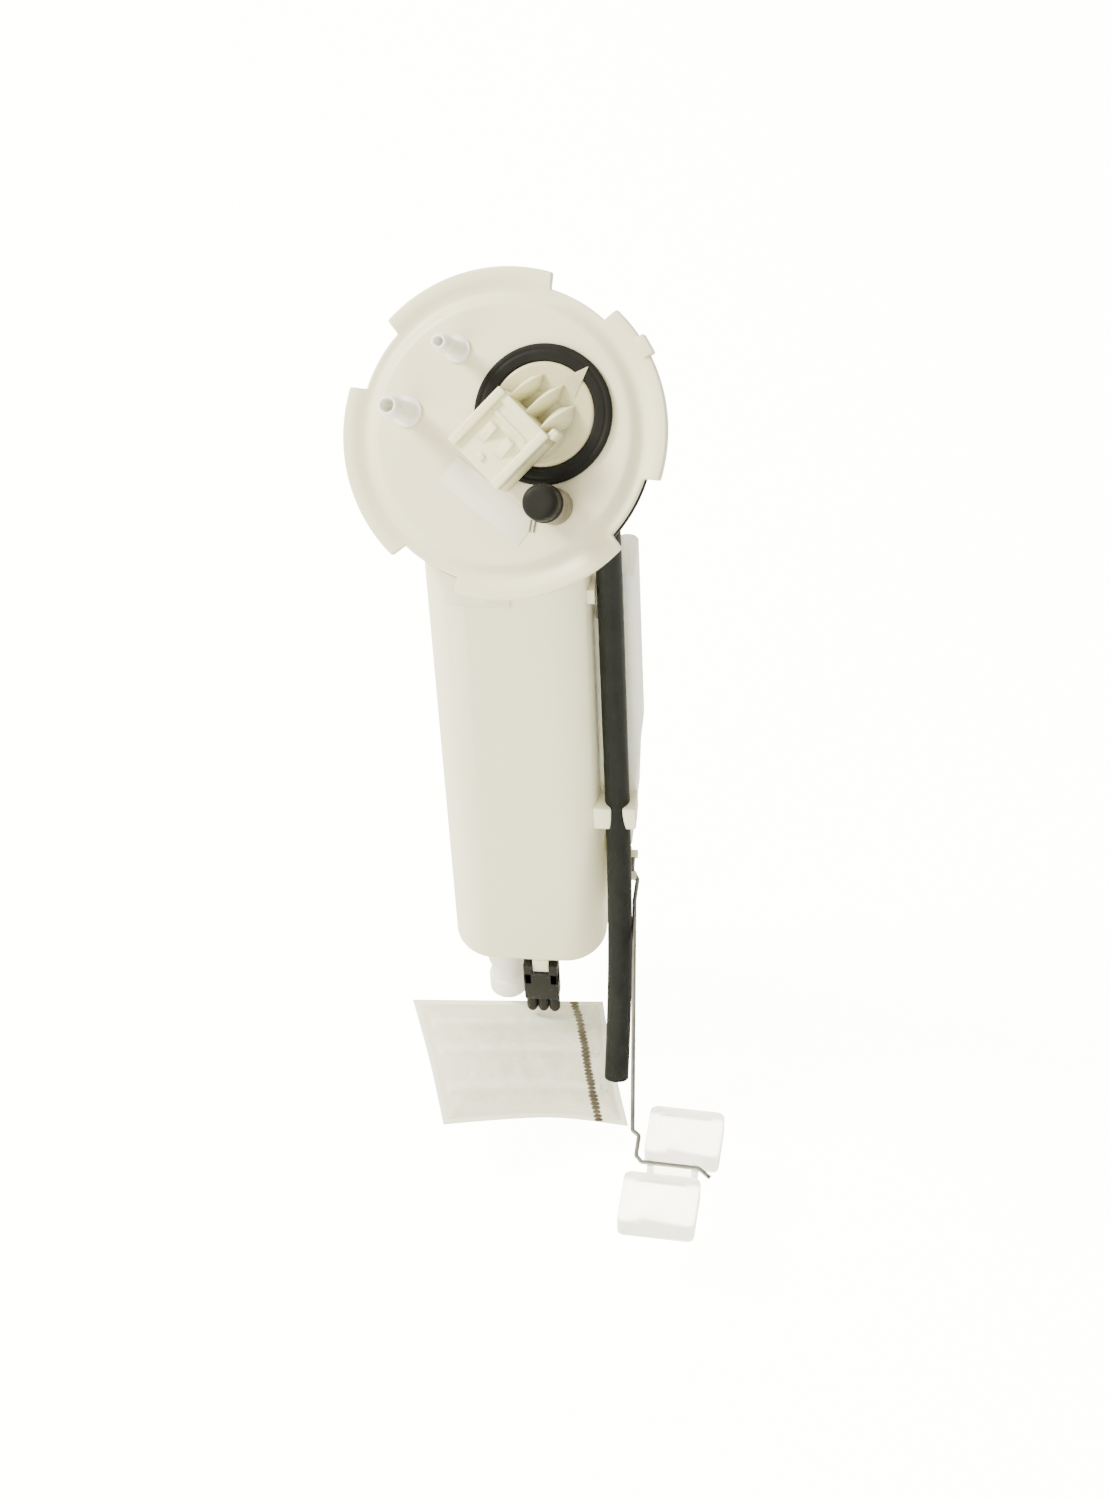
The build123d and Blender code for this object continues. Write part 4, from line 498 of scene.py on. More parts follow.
class Slot(Enum):
    """The record's material slots."""

    ACETAL_WHITE = "acetal_white"
    ACETAL_CREAM = "acetal_cream"
    NYLON_CREAM = "nylon_cream"
    NYLON_NATURAL = "nylon_natural"
    NYLON_BLACK = "nylon_black"
    RUBBER_BLACK = "rubber_black"
    HOSE_BLACK = "hose_black"
    PLATED_COLLAR = "plated_collar"
    CONTACT_TIN = "contact_tin"
    LABEL_FILM = "label_film"
    STRAINER_MESH = "strainer_mesh"
    STEEL_CASE = "steel_case"
    CAST_PUMP = "cast_pump"
    IMPELLER_RESIN = "impeller_resin"
    SHAFT_STEEL = "shaft_steel"
    WINDING = "winding"
    FERRITE = "ferrite"
    CARBON = "carbon"
    CARD_CERAMIC = "card_ceramic"
    WIPER_METAL = "wiper_metal"
    WIRE_STEEL = "wire_steel"
    FLOAT_WHITE = "float_white"


FINISHES: dict[Slot, Finish] = {
    Slot.ACETAL_WHITE: Moulded((0.86, 0.835, 0.62), (0.81, 0.775, 0.54), 0.38),
    Slot.ACETAL_CREAM: Moulded((0.77, 0.725, 0.53), (0.71, 0.66, 0.46), 0.40),
    Slot.NYLON_CREAM: Moulded((0.79, 0.755, 0.50), (0.72, 0.68, 0.41), 0.36),
    Slot.NYLON_NATURAL: Moulded((0.975, 0.97, 0.88), (0.955, 0.945, 0.84), 0.36, 0.30, 0.16, 0.000003),
    Slot.NYLON_BLACK: Moulded(
        (0.016, 0.016, 0.016), (0.010, 0.010, 0.010), 0.42, 0.0, 0.0, 0.00001, (0.06, 0.058, 0.055), 0.2),
    Slot.RUBBER_BLACK: Rubber((0.008, 0.008, 0.007), (0.016, 0.015, 0.013), 0.5),
    Slot.HOSE_BLACK: Rubber((0.008, 0.009, 0.008), (0.016, 0.017, 0.015), 0.55, True, 0.10),
    Slot.PLATED_COLLAR: Metal((0.30, 0.265, 0.20), (0.15, 0.13, 0.095), 0.38, (60.0, 60.0, 1500.0)),
    Slot.CONTACT_TIN: Metal((0.72, 0.70, 0.66), (0.50, 0.47, 0.42), 0.28),
    Slot.LABEL_FILM: Printed((0.78, 0.76, 0.61)),
    Slot.STRAINER_MESH: FilterCloth((0.95, 0.93, 0.76), (0.84, 0.81, 0.62)),
    Slot.STEEL_CASE: Metal((0.62, 0.62, 0.60), (0.45, 0.45, 0.43), 0.30),
    Slot.CAST_PUMP: Metal((0.66, 0.66, 0.65), (0.50, 0.50, 0.49), 0.45, (500.0, 500.0, 500.0)),
    Slot.IMPELLER_RESIN: Moulded(
        (0.10, 0.065, 0.045), (0.07, 0.045, 0.03), 0.5, 0.0, 0.0, 0.00002, (0.2, 0.15, 0.11)),
    Slot.SHAFT_STEEL: Metal((0.60, 0.60, 0.60), (0.45, 0.45, 0.44), 0.18, (40.0, 40.0, 1800.0)),
    Slot.WINDING: Metal((0.62, 0.33, 0.18), (0.40, 0.19, 0.10), 0.30, (900.0, 900.0, 60.0)),
    Slot.FERRITE: Moulded(
        (0.05, 0.05, 0.055), (0.035, 0.035, 0.038), 0.62, 0.0, 0.0, 0.00003, (0.12, 0.12, 0.12)),
    Slot.CARBON: Moulded(
        (0.02, 0.02, 0.021), (0.012, 0.012, 0.013), 0.66, 0.0, 0.0, 0.00003, (0.06, 0.06, 0.06)),
    Slot.CARD_CERAMIC: Moulded((0.78, 0.78, 0.74), (0.70, 0.70, 0.66), 0.55, 0.1),
    Slot.WIPER_METAL: Metal((0.70, 0.62, 0.46), (0.52, 0.44, 0.30), 0.22),
    Slot.WIRE_STEEL: Metal((0.30, 0.29, 0.26), (0.15, 0.145, 0.125), 0.34, (1400.0, 60.0, 60.0)),
    Slot.FLOAT_WHITE: Moulded((0.995, 0.98, 0.92), (0.98, 0.955, 0.88), 0.45, 0.1, 0.80, 0.00002),
}


class Palette:
    """Builds each slot's material once."""

    def __init__(self) -> None:
        """Starts with no materials."""
        self.made: dict[Slot, bpy.types.Material] = {}

    def get(self, slot: Slot) -> bpy.types.Material:
        """Gives the slot's material, made at its first use.

        Args:
            slot: The slot.
        Returns:
            The material.
        """
        if slot not in self.made:
            self.made[slot] = FINISHES[slot].build(slot.value)
        return self.made[slot]

    def finish(self, piece: bpy.types.Object, slot: Slot, body: str, *nodes: str) -> bpy.types.Object:
        """Dresses a piece, sets it on its body and hides the CAD nodes that it stands for.

        Args:
            piece: The finished shape.
            slot: Its material slot.
            body: The body that it rides.
            nodes: The CAD nodes that it stands for, if any.
        Returns:
            The same piece.
        """
        piece.data.materials.clear()
        piece.data.materials.append(self.get(slot))
        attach(piece, body)
        if nodes:
            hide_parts(*nodes)
        LOG.info("%s: %d faces", piece.name, len(piece.data.polygons))
        return piece


# ---- Carried-over CAD pieces -------------------------------------------------------------------
@dataclass
class CadSkin:
    """Finishes the CAD pieces that keep their shape, and eases their edges.

    Args:
        palette: The materials.
        ease: Width of the eased edges, in metres.
        hidden: Nodes that other pieces stand for.
        fine: Small nodes, whose edges are eased less.
    """

    palette: Palette
    ease: float = 0.00035
    hidden: tuple[str, ...] = ()
    fine: tuple[str, ...] = (
        "resistor_card", "wiper", "label", "connector_terminals", "motor_brushes", "impeller")

    def soften(self, piece: bpy.types.Object) -> None:
        """Welds a piece's mesh and rounds its sharp edges with a live modifier.

        Args:
            piece: The CAD piece.
        """
        for polygon in piece.data.polygons:
            polygon.use_smooth = True
        weld = piece.modifiers.new("weld", "WELD")
        weld.merge_threshold = 0.000004
        width = self.ease / 5 if piece.name in self.fine else self.ease
        bevel = piece.modifiers.new("ease", "BEVEL")
        bevel.limit_method = "ANGLE"
        bevel.angle_limit = math.radians(34)
        bevel.width = width
        bevel.segments = 2
        bevel.use_clamp_overlap = True
        bevel.harden_normals = True

    def build(self, frame: dict) -> None:
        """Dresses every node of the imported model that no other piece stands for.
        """
        slots = {part["node"]: part["material_slot"] for part in frame["record"]["subparts"]}
        for name, piece in frame["nodes"].items():
            if name in self.hidden:
                continue
            piece.data.materials.clear()
            piece.data.materials.append(self.palette.get(Slot(slots[name])))
            self.soften(piece)
        LOG.info("dressed %d CAD pieces", len(frame["nodes"]) - len(self.hidden))


def mesh_piece(name: str, form: bmesh.types.BMesh, smooth: bool = True) -> bpy.types.Object:
    """Makes an object from a bmesh and frees it.

    Args:
        name: The piece's name.
        form: Its shape, in metres, in the model's frame.
        smooth: Whether its faces are shaded smooth.
    Returns:
        The object, at the origin.
    """
    data = bpy.data.meshes.new(name)
    bmesh.ops.recalc_face_normals(form, faces=form.faces)
    form.to_mesh(data)
    form.free()
    for polygon in data.polygons:
        polygon.use_smooth = smooth
    piece = bpy.data.objects.new(name, data)
    bpy.context.scene.collection.objects.link(piece)
    return piece


# ---- Mesh building -----------------------------------------------------------------------------
def polar(radius: float, angle: float, height: float, centre: tuple[float, float] = (0.0, 0.0)) -> Vector:
    """Returns: the point at a radius and an angle, in radians, about an upright axis."""
    return Vector((centre[0] + radius * math.cos(angle), centre[1] + radius * math.sin(angle), height))


def skin(form: bmesh.types.BMesh, rings: list[list[bmesh.types.BMVert]], closed: bool = True) -> None:
    """Joins each row of vertices to the next.

    Args:
        form: The mesh.
        rings: Rows of equally many vertices.
        closed: Whether each row's last vertex joins its first.
    """
    for low, high in zip(rings, rings[1:]):
        count = len(low)
        for index in range(count if closed else count - 1):
            after = (index + 1) % count
            form.faces.new((low[index], low[after], high[after], high[index]))


def eased(points: Profile, radius: float, steps: int = 4, closed: bool = True) -> Profile:
    """Rounds a profile's corners.

    Args:
        points: The corners, in millimetres.
        radius: Largest rounding; a short side gets less.
        steps: Points along each rounding.
        closed: Whether the last corner joins the first.
    Returns:
        The rounded profile.
    """
    result: Profile = []
    count = len(points)
    for index, corner in enumerate(points):
        middle = Vector(corner)
        if not closed and index in (0, count - 1):
            result.append(tuple(middle))
            continue
        before = Vector(points[index - 1]) - middle
        after = Vector(points[(index + 1) % count]) - middle
        reach = min(radius, 0.45 * before.length, 0.45 * after.length)
        start, end = middle + before.normalized() * reach, middle + after.normalized() * reach
        for step in range(steps + 1):
            t = step / steps
            result.append(tuple(start.lerp(middle, t).lerp(middle.lerp(end, t), t)))
    return result


class Sculpt:
    """A bmesh that is built up from rounded forms, each in the axes of its matrix, in millimetres."""

    def __init__(self, matrix: Matrix) -> None:
        """Args: matrix: from these axes, in millimetres, to the model's, in metres."""
        self.form = bmesh.new()
        self.matrix = matrix
        # Each vertex's share of painted shade, read by the moulded finish; tone is the share given to new
        # vertices.
        self.shade = self.form.verts.layers.float.new("shade")
        self.tone = 0.0

    def vert(self, place: Vector) -> bmesh.types.BMVert:
        """Adds a vertex.

        Args:
            place: Its place in these axes.
        Returns:
            The vertex.
        """
        made = self.form.verts.new(self.matrix @ place)
        made[self.shade] = self.tone
        return made

    def lathe(self, profile: Profile, centre: tuple[float, float] = (0.0, 0.0), around: int = 96,
              closed: bool = True) -> None:
        """Turns a profile about an upright axis.

        Args:
            profile: Its (radius, height) points.
            centre: Where the axis stands.
            around: Points round each ring.
            closed: Whether the last ring joins the first.
        """
        rings = []
        for radius, height in profile:
            if radius < 0.001:
                rings.append([self.vert(Vector((*centre, height)))])
                continue
            angles = (2 * math.pi * step / around for step in range(around))
            rings.append([self.vert(polar(radius, angle, height, centre)) for angle in angles])
        pairs = list(zip(rings, rings[1:]))
        if closed:
            pairs.append((rings[-1], rings[0]))
        for low, high in pairs:
            self.bridge(low, high, around)

    def bridge(self, low: list, high: list, around: int) -> None:
        """Joins two rings of vertices, either of which may be one vertex.

        Args:
            low: The first ring.
            high: The second ring.
            around: Vertices in a full ring.
        """
        if len(low) == 1 and len(high) == 1:
            return
        for step in range(around):
            after = (step + 1) % around
            ring = []
            for part, pair in ((low, (step, after)), (high, (after, step))):
                ring += [part[0]] if len(part) == 1 else [part[index] for index in pair]
            self.form.faces.new(ring)

    def block(self, low: Colour, high: Colour, radius: float, turn: Matrix | None = None) -> None:
        """Adds a box with all its edges rounded.

        Args:
            low: Its lowest corner.
            high: Its highest corner.
            radius: The rounding.
            turn: A turn of these axes first.
        """
        size = Vector(high) - Vector(low)
        centre = Matrix.Translation((Vector(high) + Vector(low)) / 2)
        place = self.matrix @ (turn or Matrix.Identity(4)) @ centre @ Matrix.Diagonal((*size, 1.0))
        made = bmesh.ops.create_cube(self.form, size=1.0, matrix=place)
        edges = {edge for vert in made["verts"] for edge in vert.link_edges}
        reach = min(radius, 0.42 * min(size)) * MM
        self.bevel(edges, reach)

    def bevel(self, edges: set[bmesh.types.BMEdge], reach: float) -> None:
        """Rounds edges by a reach in metres."""
        bmesh.ops.bevel(self.form, geom=list(edges), offset=reach, segments=3, profile=0.5, affect="EDGES",
                        clamp_overlap=True)

    def prism(self, outline: Profile, low: float, high: float, radius: float,
              turn: Matrix | None = None) -> None:
        """Raises an outline along Z and rounds its edges.

        Args:
            outline: Its (x, y) points.
            low: Height of its foot.
            high: Height of its top.
            radius: The rounding of both ends.
            turn: A turn of these axes first.
        """
        turned = turn or Matrix.Identity(4)
        rings = [[self.vert(turned @ Vector((x, y, level))) for x, y in outline] for level in (low, high)]
        ends = self.form.faces.new(rings[0][::-1]), self.form.faces.new(rings[1])
        skin(self.form, rings)
        if radius > 0:
            self.bevel({edge for face in ends for edge in face.edges}, radius * MM)

    def arch(self, stations: list[tuple[Vector, Vector, Vector, float, float]], steps: int = 14) -> None:
        """Lofts sections that come to a ridge into one closed form.

        Args:
            stations: For each section, its foot, its sideways and its upward direction, its half width
                and its height.
            steps: Points over each section.
        """
        rings = []
        for foot, side, up, half, height in stations:
            ring = []
            for step in range(steps + 1):
                wide = 1 - 2 * step / steps
                tall = (1 - abs(wide)) ** 0.5
                ring.append(self.vert(foot + side * half * wide + up * height * tall))
            rings.append(ring)
        skin(self.form, rings)
        self.form.faces.new(rings[0])
        self.form.faces.new(rings[-1][::-1])

    def piece(self, name: str, angle: float = 40.0) -> bpy.types.Object:
        """Finishes the shape.

        Args:
            name: The object's name.
            angle: Degrees beyond which a corner stays sharp.
        Returns:
            The object.
        """
        piece = mesh_piece(name, self.form)
        piece.data.set_sharp_from_angle(angle=math.radians(angle))
        return piece


# ---- Repeated small forms ----------------------------------------------------------------------
@dataclass
class PathRepeater:
    """Sets small forms evenly along a path with Geometry Nodes, then keeps the result as a plain mesh.

    Args:
        count: How many forms.
        size: Their size along the path, across it and along the upward direction, in metres.
        up: Upward direction.
        round_form: Whether each is a rounded bead; otherwise it is a block.
        jitter: Share by which sizes differ.
        seed: Seed of those differences.
    """

    count: int
    size: Colour
    up: Colour
    round_form: bool = True
    jitter: float = 0.0
    seed: int = SEED

    def group(self) -> bpy.types.GeometryNodeTree:
        """Returns: the node group, with its inputs Count, Size, Up, Round, Jitter, Seed and Material."""
        tree = bpy.data.node_groups.new("along_path", "GeometryNodeTree")
        face = tree.interface
        face.new_socket("Geometry", in_out="INPUT", socket_type="NodeSocketGeometry")
        for name, kind in (
                ("Count", "Int"), ("Size", "Vector"), ("Up", "Vector"), ("Round", "Bool"),
                ("Jitter", "Float"), ("Seed", "Int"), ("Material", "Material")):
            face.new_socket(name, in_out="INPUT", socket_type="NodeSocket" + kind)
        face.new_socket("Geometry", in_out="OUTPUT", socket_type="NodeSocketGeometry")
        names = {
            "start": "NodeGroupInput", "end": "NodeGroupOutput", "curve": "GeometryNodeMeshToCurve",
            "even": "GeometryNodeResampleCurve", "tangent": "GeometryNodeInputTangent",
            "turn": "FunctionNodeAxesToRotation", "bead": "GeometryNodeMeshIcoSphere",
            "block": "GeometryNodeMeshCube", "choose": "GeometryNodeSwitch",
            "low": "ShaderNodeMath", "high": "ShaderNodeMath", "vary": "FunctionNodeRandomValue",
            "scale": "ShaderNodeVectorMath", "place": "GeometryNodeInstanceOnPoints",
            "real": "GeometryNodeRealizeInstances", "smooth": "GeometryNodeSetShadeSmooth",
            "paint": "GeometryNodeSetMaterial"}
        node = {key: tree.nodes.new(kind) for key, kind in names.items()}
        node["turn"].primary_axis, node["turn"].secondary_axis = "X", "Z"
        node["choose"].input_type = "GEOMETRY"
        node["bead"].inputs["Radius"].default_value = 0.5
        node["bead"].inputs["Subdivisions"].default_value = 2
        node["low"].operation, node["high"].operation, node["scale"].operation = "SUBTRACT", "ADD", "SCALE"
        node["low"].inputs[0].default_value = node["high"].inputs[0].default_value = 1.0
        for start, out, end, into in (
            ("start", "Geometry", "curve", "Mesh"), ("curve", "Curve", "even", "Curve"),
            ("start", "Count", "even", "Count"),
            ("tangent", 0, "turn", "Primary Axis"), ("start", "Up", "turn", "Secondary Axis"),
            ("start", "Round", "choose", "Switch"), ("block", "Mesh", "choose", "False"),
            ("bead", "Mesh", "choose", "True"), ("start", "Jitter", "low", 1), ("start", "Jitter", "high", 1),
            ("low", 0, "vary", 2), ("high", 0, "vary", 3),
            ("start", "Seed", "vary", "Seed"), ("start", "Size", "scale", 0), ("vary", 1, "scale", "Scale"),
            ("even", "Curve", "place", "Points"), ("choose", "Output", "place", "Instance"),
            ("turn", "Rotation", "place", "Rotation"), ("scale", 0, "place", "Scale"),
            ("place", "Instances", "real", "Geometry"), ("real", "Geometry", "smooth", "Geometry"),
            ("smooth", "Geometry", "paint", "Geometry"), ("start", "Material", "paint", "Material"),
            ("paint", "Geometry", "end", "Geometry")):
            tree.links.new(node[start].outputs[out], node[end].inputs[into])
        return tree

    def build(self, name: str, path: list[Vector], closed: bool,
              material: bpy.types.Material) -> bpy.types.Object:
        """Sets the forms along a path.

        Args:
            name: The piece's name.
            path: Points of the path, in metres.
            closed: Whether the path is a loop.
            material: The forms' material.
        Returns:
            The piece.
        """
        source = bpy.data.meshes.new(name + "_path")
        edges = [(i, i + 1) for i in range(len(path) - 1)] + ([(len(path) - 1, 0)] if closed else [])
        source.from_pydata([tuple(p) for p in path], edges, [])
        holder = bpy.data.objects.new(name + "_path", source)
        bpy.context.scene.collection.objects.link(holder)
        tree = self.group()
        modifier = holder.modifiers.new("repeat", "NODES")
        modifier.node_group = tree
        values = {"Count": self.count, "Size": self.size, "Up": self.up, "Round": self.round_form,
                  "Jitter": self.jitter, "Seed": self.seed, "Material": material}
        for item in tree.interface.items_tree:
            if item.in_out == "INPUT" and item.name in values:
                modifier[item.identifier] = values[item.name]
        bpy.context.view_layer.update()
        shown = holder.evaluated_get(bpy.context.evaluated_depsgraph_get())
        data = bpy.data.meshes.new_from_object(shown)
        data.name = name
        for polygon in data.polygons:
            polygon.material_index = 0
        holder.modifiers.remove(modifier)
        bpy.data.objects.remove(holder)
        piece = bpy.data.objects.new(name, data)
        bpy.context.scene.collection.objects.link(piece)
        return piece


# ---- Cover -------------------------------------------------------------------------------------
@dataclass
class CoverShell:
    """The moulded cover: raised middle, groove, rim with lock notches, key and spigot.

    Args:
        palette: The materials.
        radius: The rim's radius, in millimetres, as are all sizes here.
        rim: The rim's height over its seat.
        disc: Radius of the raised middle.
        top: Height of the raised middle.
        valley: Radius of the groove's floor.
        valley_top: Height of the groove's floor.
        floor: Radius of the notches' floors.
        first: Angle of the first notch.
        notches: How many notches there are.
        floor_angle: Degrees of a notch's floor.
        mouth_angle: Degrees between a notch's sides where they reach the rim.
        ease: Rounding of the rim's edge.
        spigot: The spigot's outer radius.
        spigot_wall: Its wall.
        spigot_depth: Its depth under the seat.
        under: Height of the underside of the raised middle.
        key_angle: Angle of the key.
        sink: How far the raised middle sinks here and there.
        sink_width: Width of such a sink.
        ribs: How many ribs there are under the raised middle.
        rib_radius: Radius of the ribs' middles.
        rib_level: Height of the ribs' middles.
    """

    palette: Palette
    radius: float = 65.0
    rim: float = 4.0
    disc: float = 51.7
    top: float = COVER_TOP
    valley: float = 55.6
    valley_top: float = 1.9
    floor: float = 58.8
    first: float = 70.0
    notches: int = 4
    floor_angle: float = 24.0
    mouth_angle: float = 27.0
    ease: float = 0.9
    spigot: float = 55.0
    spigot_wall: float = 2.4
    spigot_depth: float = 12.0
    under: float = COVER_UNDER
    key_angle: float = 40.7
    sink: float = 0.05
    sink_width: float = 17.0
    ribs: int = 12
    rib_radius: float = 46.0
    rib_level: float = -1.2

    def angles(self) -> list[float]:
        """Returns: the angles of the cover's radial lines, closer together at the notches' sides."""
        marks = {round(step * 1.25, 4) for step in range(288)}
        for index in range(self.notches):
            middle = self.first + index * 360 / self.notches
            for side in (-1, 1):
                for step in range(15):
                    angle = middle + side * (self.floor_angle / 2 - 1.2 + step * 0.28)
                    marks.add(round(angle % 360, 4))
        ordered = sorted(marks)
        kept = [ordered[0]]
        for angle in ordered[1:]:
            if angle - kept[-1] > 0.12:
                kept.append(angle)
        return kept

    def edge(self, angle: float) -> float:
        """Finds the rim's radius.

        Args:
            angle: Degrees round the cover.
        Returns:
            The radius there, less inside a notch.
        """
        spacing = 360 / self.notches
        away = abs((angle - self.first + spacing / 2) % spacing - spacing / 2)
        start, end = self.floor_angle / 2, self.mouth_angle / 2
        t = min(1.0, max(0.0, (away - start) / (end - start)))
        t = t * t * (3 - 2 * t)
        return self.floor + (self.radius - self.floor) * t

    def face_height(self, radius: float) -> float:
        """Finds the upper face's height.

        Args:
            radius: Distance from the cover's axis.
        Returns:
            The height there.
        """
        slope_end = self.radius - 3.0
        if radius <= self.disc - 1.6:
            return self.top
        if radius <= self.valley:
            t = (radius - self.disc + 1.6) / (self.valley - self.disc + 1.6)
            t = t * t * (3 - 2 * t)
            return self.top + (self.valley_top - self.top) * t
        t = min(1.0, (radius - self.valley) / (slope_end - self.valley))
        t = t * t * (3 - 2 * t)
        return self.valley_top + (self.rim - self.valley_top) * t

    def line(self, edge: float) -> Profile:
        """Draws one radial line of the cover.

        Args:
            edge: The rim's radius on it.
        Returns:
            Its (radius, height) points, from the middle over the rim to the inside.
        """
        points = [(radius, self.top) for radius in (6.0, 14.0, 22.0, 30.0, 38.0, 44.0, 48.0)]
        inner = self.disc - 2.0
        last = edge - self.ease
        for step in range(15):
            radius = inner + (last - inner) * step / 14
            points.append((radius, self.face_height(radius)))
        high = self.face_height(last)
        for step in range(1, 5):
            turn = math.pi / 2 * step / 4
            points.append((last + self.ease * math.sin(turn), high - self.ease * (1 - math.cos(turn))))
        points += [(edge, 0.35), (edge - 0.35, 0.0), (self.spigot + 0.3, 0.0), (self.spigot, -0.3)]
        points += [(self.spigot, -self.spigot_depth + 0.4), (self.spigot - 0.4, -self.spigot_depth)]
        inside = self.spigot - self.spigot_wall
        points += [(inside + 0.4, -self.spigot_depth), (inside, -self.spigot_depth + 0.4)]
        return points + [(inside, self.under - 0.6), (inside - 0.6, self.under), (20.0, self.under)]

    def build(self) -> bpy.types.Object:
        """Returns: the cover's piece."""
        sculpt = Sculpt(FLANGE.matrix())
        lines = []
        for angle in self.angles():
            turn = math.radians(angle)
            line = []
            for radius, height in self.line(self.edge(angle)):
                sink = self.sink * noise.noise(polar(radius / self.sink_width, turn, 1.0))
                lift = sink if 0 < height and radius < self.disc else 0.0
                line.append(sculpt.vert(polar(radius, turn, height + lift)))
            lines.append(line)
        skin(sculpt.form, lines + lines[:1], False)
        sculpt.form.faces.new([line[0] for line in lines])
        sculpt.form.faces.new([line[-1] for line in reversed(lines)])
        turned = Matrix.Rotation(math.radians(self.key_angle), 4, "Z")
        sculpt.block((self.radius - 2.6, -4.3, 0.3), (self.radius + 2.0, 4.3, self.rim + 1.0), 0.6, turned)
        piece = sculpt.piece("cover_shell", 50.0)
        self.palette.finish(piece, Slot.ACETAL_CREAM, "module", "flange_cover")
        self.build_ribs()
        return piece

    def build_ribs(self) -> None:
        """Adds the radial ribs under the raised middle."""
        matrix = FLANGE.matrix()
        angles = (math.radians(2 * step) for step in range(180))
        loop = [matrix @ polar(self.rib_radius, angle, self.rib_level) for angle in angles]
        up = (matrix.to_3x3() @ Vector((0, 0, 1))).normalized()
        ribs = PathRepeater(self.ribs, (0.0018, 0.0125, 0.0070), tuple(up), False)
        piece = ribs.build("cover_ribs", loop, True, self.palette.get(Slot.ACETAL_CREAM))
        self.palette.finish(piece, Slot.ACETAL_CREAM, "module")


@dataclass
class RimSeal:
    """The black seal in its seat under the cover's rim, pressed a little to one side.

    Args:
        palette: The materials.
        inner: Its inner radius.
        outer: Its outer radius.
        low: Its underside's height.
        high: Its upper face's height.
        aside: How far its centre lies from the cover's.
    """

    palette: Palette
    inner: float = 55.8
    outer: float = 58.8
    low: float = -3.4
    high: float = 0.4
    aside: tuple[float, float] = (0.36, -0.42)

    def build(self) -> bpy.types.Object:
        """Returns: the seal's piece."""
        inner, outer, low, high = self.inner, self.outer, self.low, self.high
        profile = [(inner, low), (outer, low), (outer, high), (inner, high)]
        sculpt = Sculpt(FLANGE.matrix())
        sculpt.lathe(eased(profile, 1.0, 4), self.aside, 144)
        return self.palette.finish(sculpt.piece("rim_seal", 60.0), Slot.RUBBER_BLACK, "module", "flange_seal")


@dataclass
class CollarTongue:
    """The part of the mounting collar that fills the canister's long front window.

    Args:
        palette: The materials.
        start: Its left end's x.
        end: Its right end's x.
        face: The canister's front face.
        corner: Radius of the canister's upright corner.
        turn: x where that corner starts.
        low: Its lower edge's height.
        high: Its upper edge's height.
        sunk: How far its face lies behind the canister's.
        depth: How far its back does.
    """

    palette: Palette
    start: float = -24.6
    end: float = 2.0
    face: float = -26.0
    corner: float = 18.0
    turn: float = -16.55
    low: float = -68.9
    high: float = -60.7
    sunk: float = 0.04
    depth: float = 1.9

    def front(self, x: float, sink: float) -> float:
        """Follows the canister's front face and corner.

        Args:
            x: Where.
            sink: How far behind the face.
        Returns:
            The y of the surface there.
        """
        away = max(0.0, self.turn - x)
        reach = self.corner - sink
        return self.face + self.corner - math.sqrt(reach * reach - away * away)

    def build(self) -> bpy.types.Object:
        """Returns: the tongue's piece."""
        places = [self.start + (self.end - self.start) * step / 24 for step in range(25)]
        outline = [(x, self.front(x, self.sunk)) for x in places]
        outline += [(x, self.front(x, self.depth)) for x in reversed(places)]
        sculpt = Sculpt(Matrix.Scale(MM, 4))
        sculpt.prism(outline, self.low, self.high, 0.0)
        return self.palette.finish(sculpt.piece("collar_tongue", 30.0), Slot.ACETAL_WHITE, "module")


@dataclass
class HoseHolder:
    """The clip that holds the hose against the canister: two blocks that wrap it, open before it.

    Args:
        palette: The materials.
        top: Its upper end's height.
        height: Its height.
        middle: The hose's x in it.
        gap: Width of the opening.
        wall: x of the canister's wall, where the holder starts.
        reach: Width of its outer block.
        front: y of its front.
        back: y of its back.
        spine: Thickness of the part behind the hose.
        ease: Rounding of its edges.
    """

    palette: Palette
    top: float = -191.5
    height: float = 12.5
    middle: float = 39.6
    gap: float = 4.8
    wall: float = 29.6
    reach: float = 5.6
    front: float = -18.6
    back: float = -4.6
    spine: float = 5.4
    ease: float = 0.9

    def build(self) -> bpy.types.Object:
        """Returns: the holder's piece."""
        low, high = self.top - self.height, self.top
        left, right = self.middle - self.gap / 2, self.middle + self.gap / 2
        sculpt = Sculpt(Matrix.Scale(MM, 4))
        spine, end = self.back - self.spine, right + self.reach
        sculpt.block((self.wall, self.front, low), (left, spine + 1.0, high), self.ease)
        sculpt.block((right, self.front + 0.4, low), (end, spine + 1.0, high), self.ease)
        sculpt.block((self.wall, spine, low + 1.0), (end, self.back, high - 1.0), self.ease)
        piece = sculpt.piece("hose_holder", 40.0)
        return self.palette.finish(piece, Slot.ACETAL_WHITE, "module", "hose_clip")


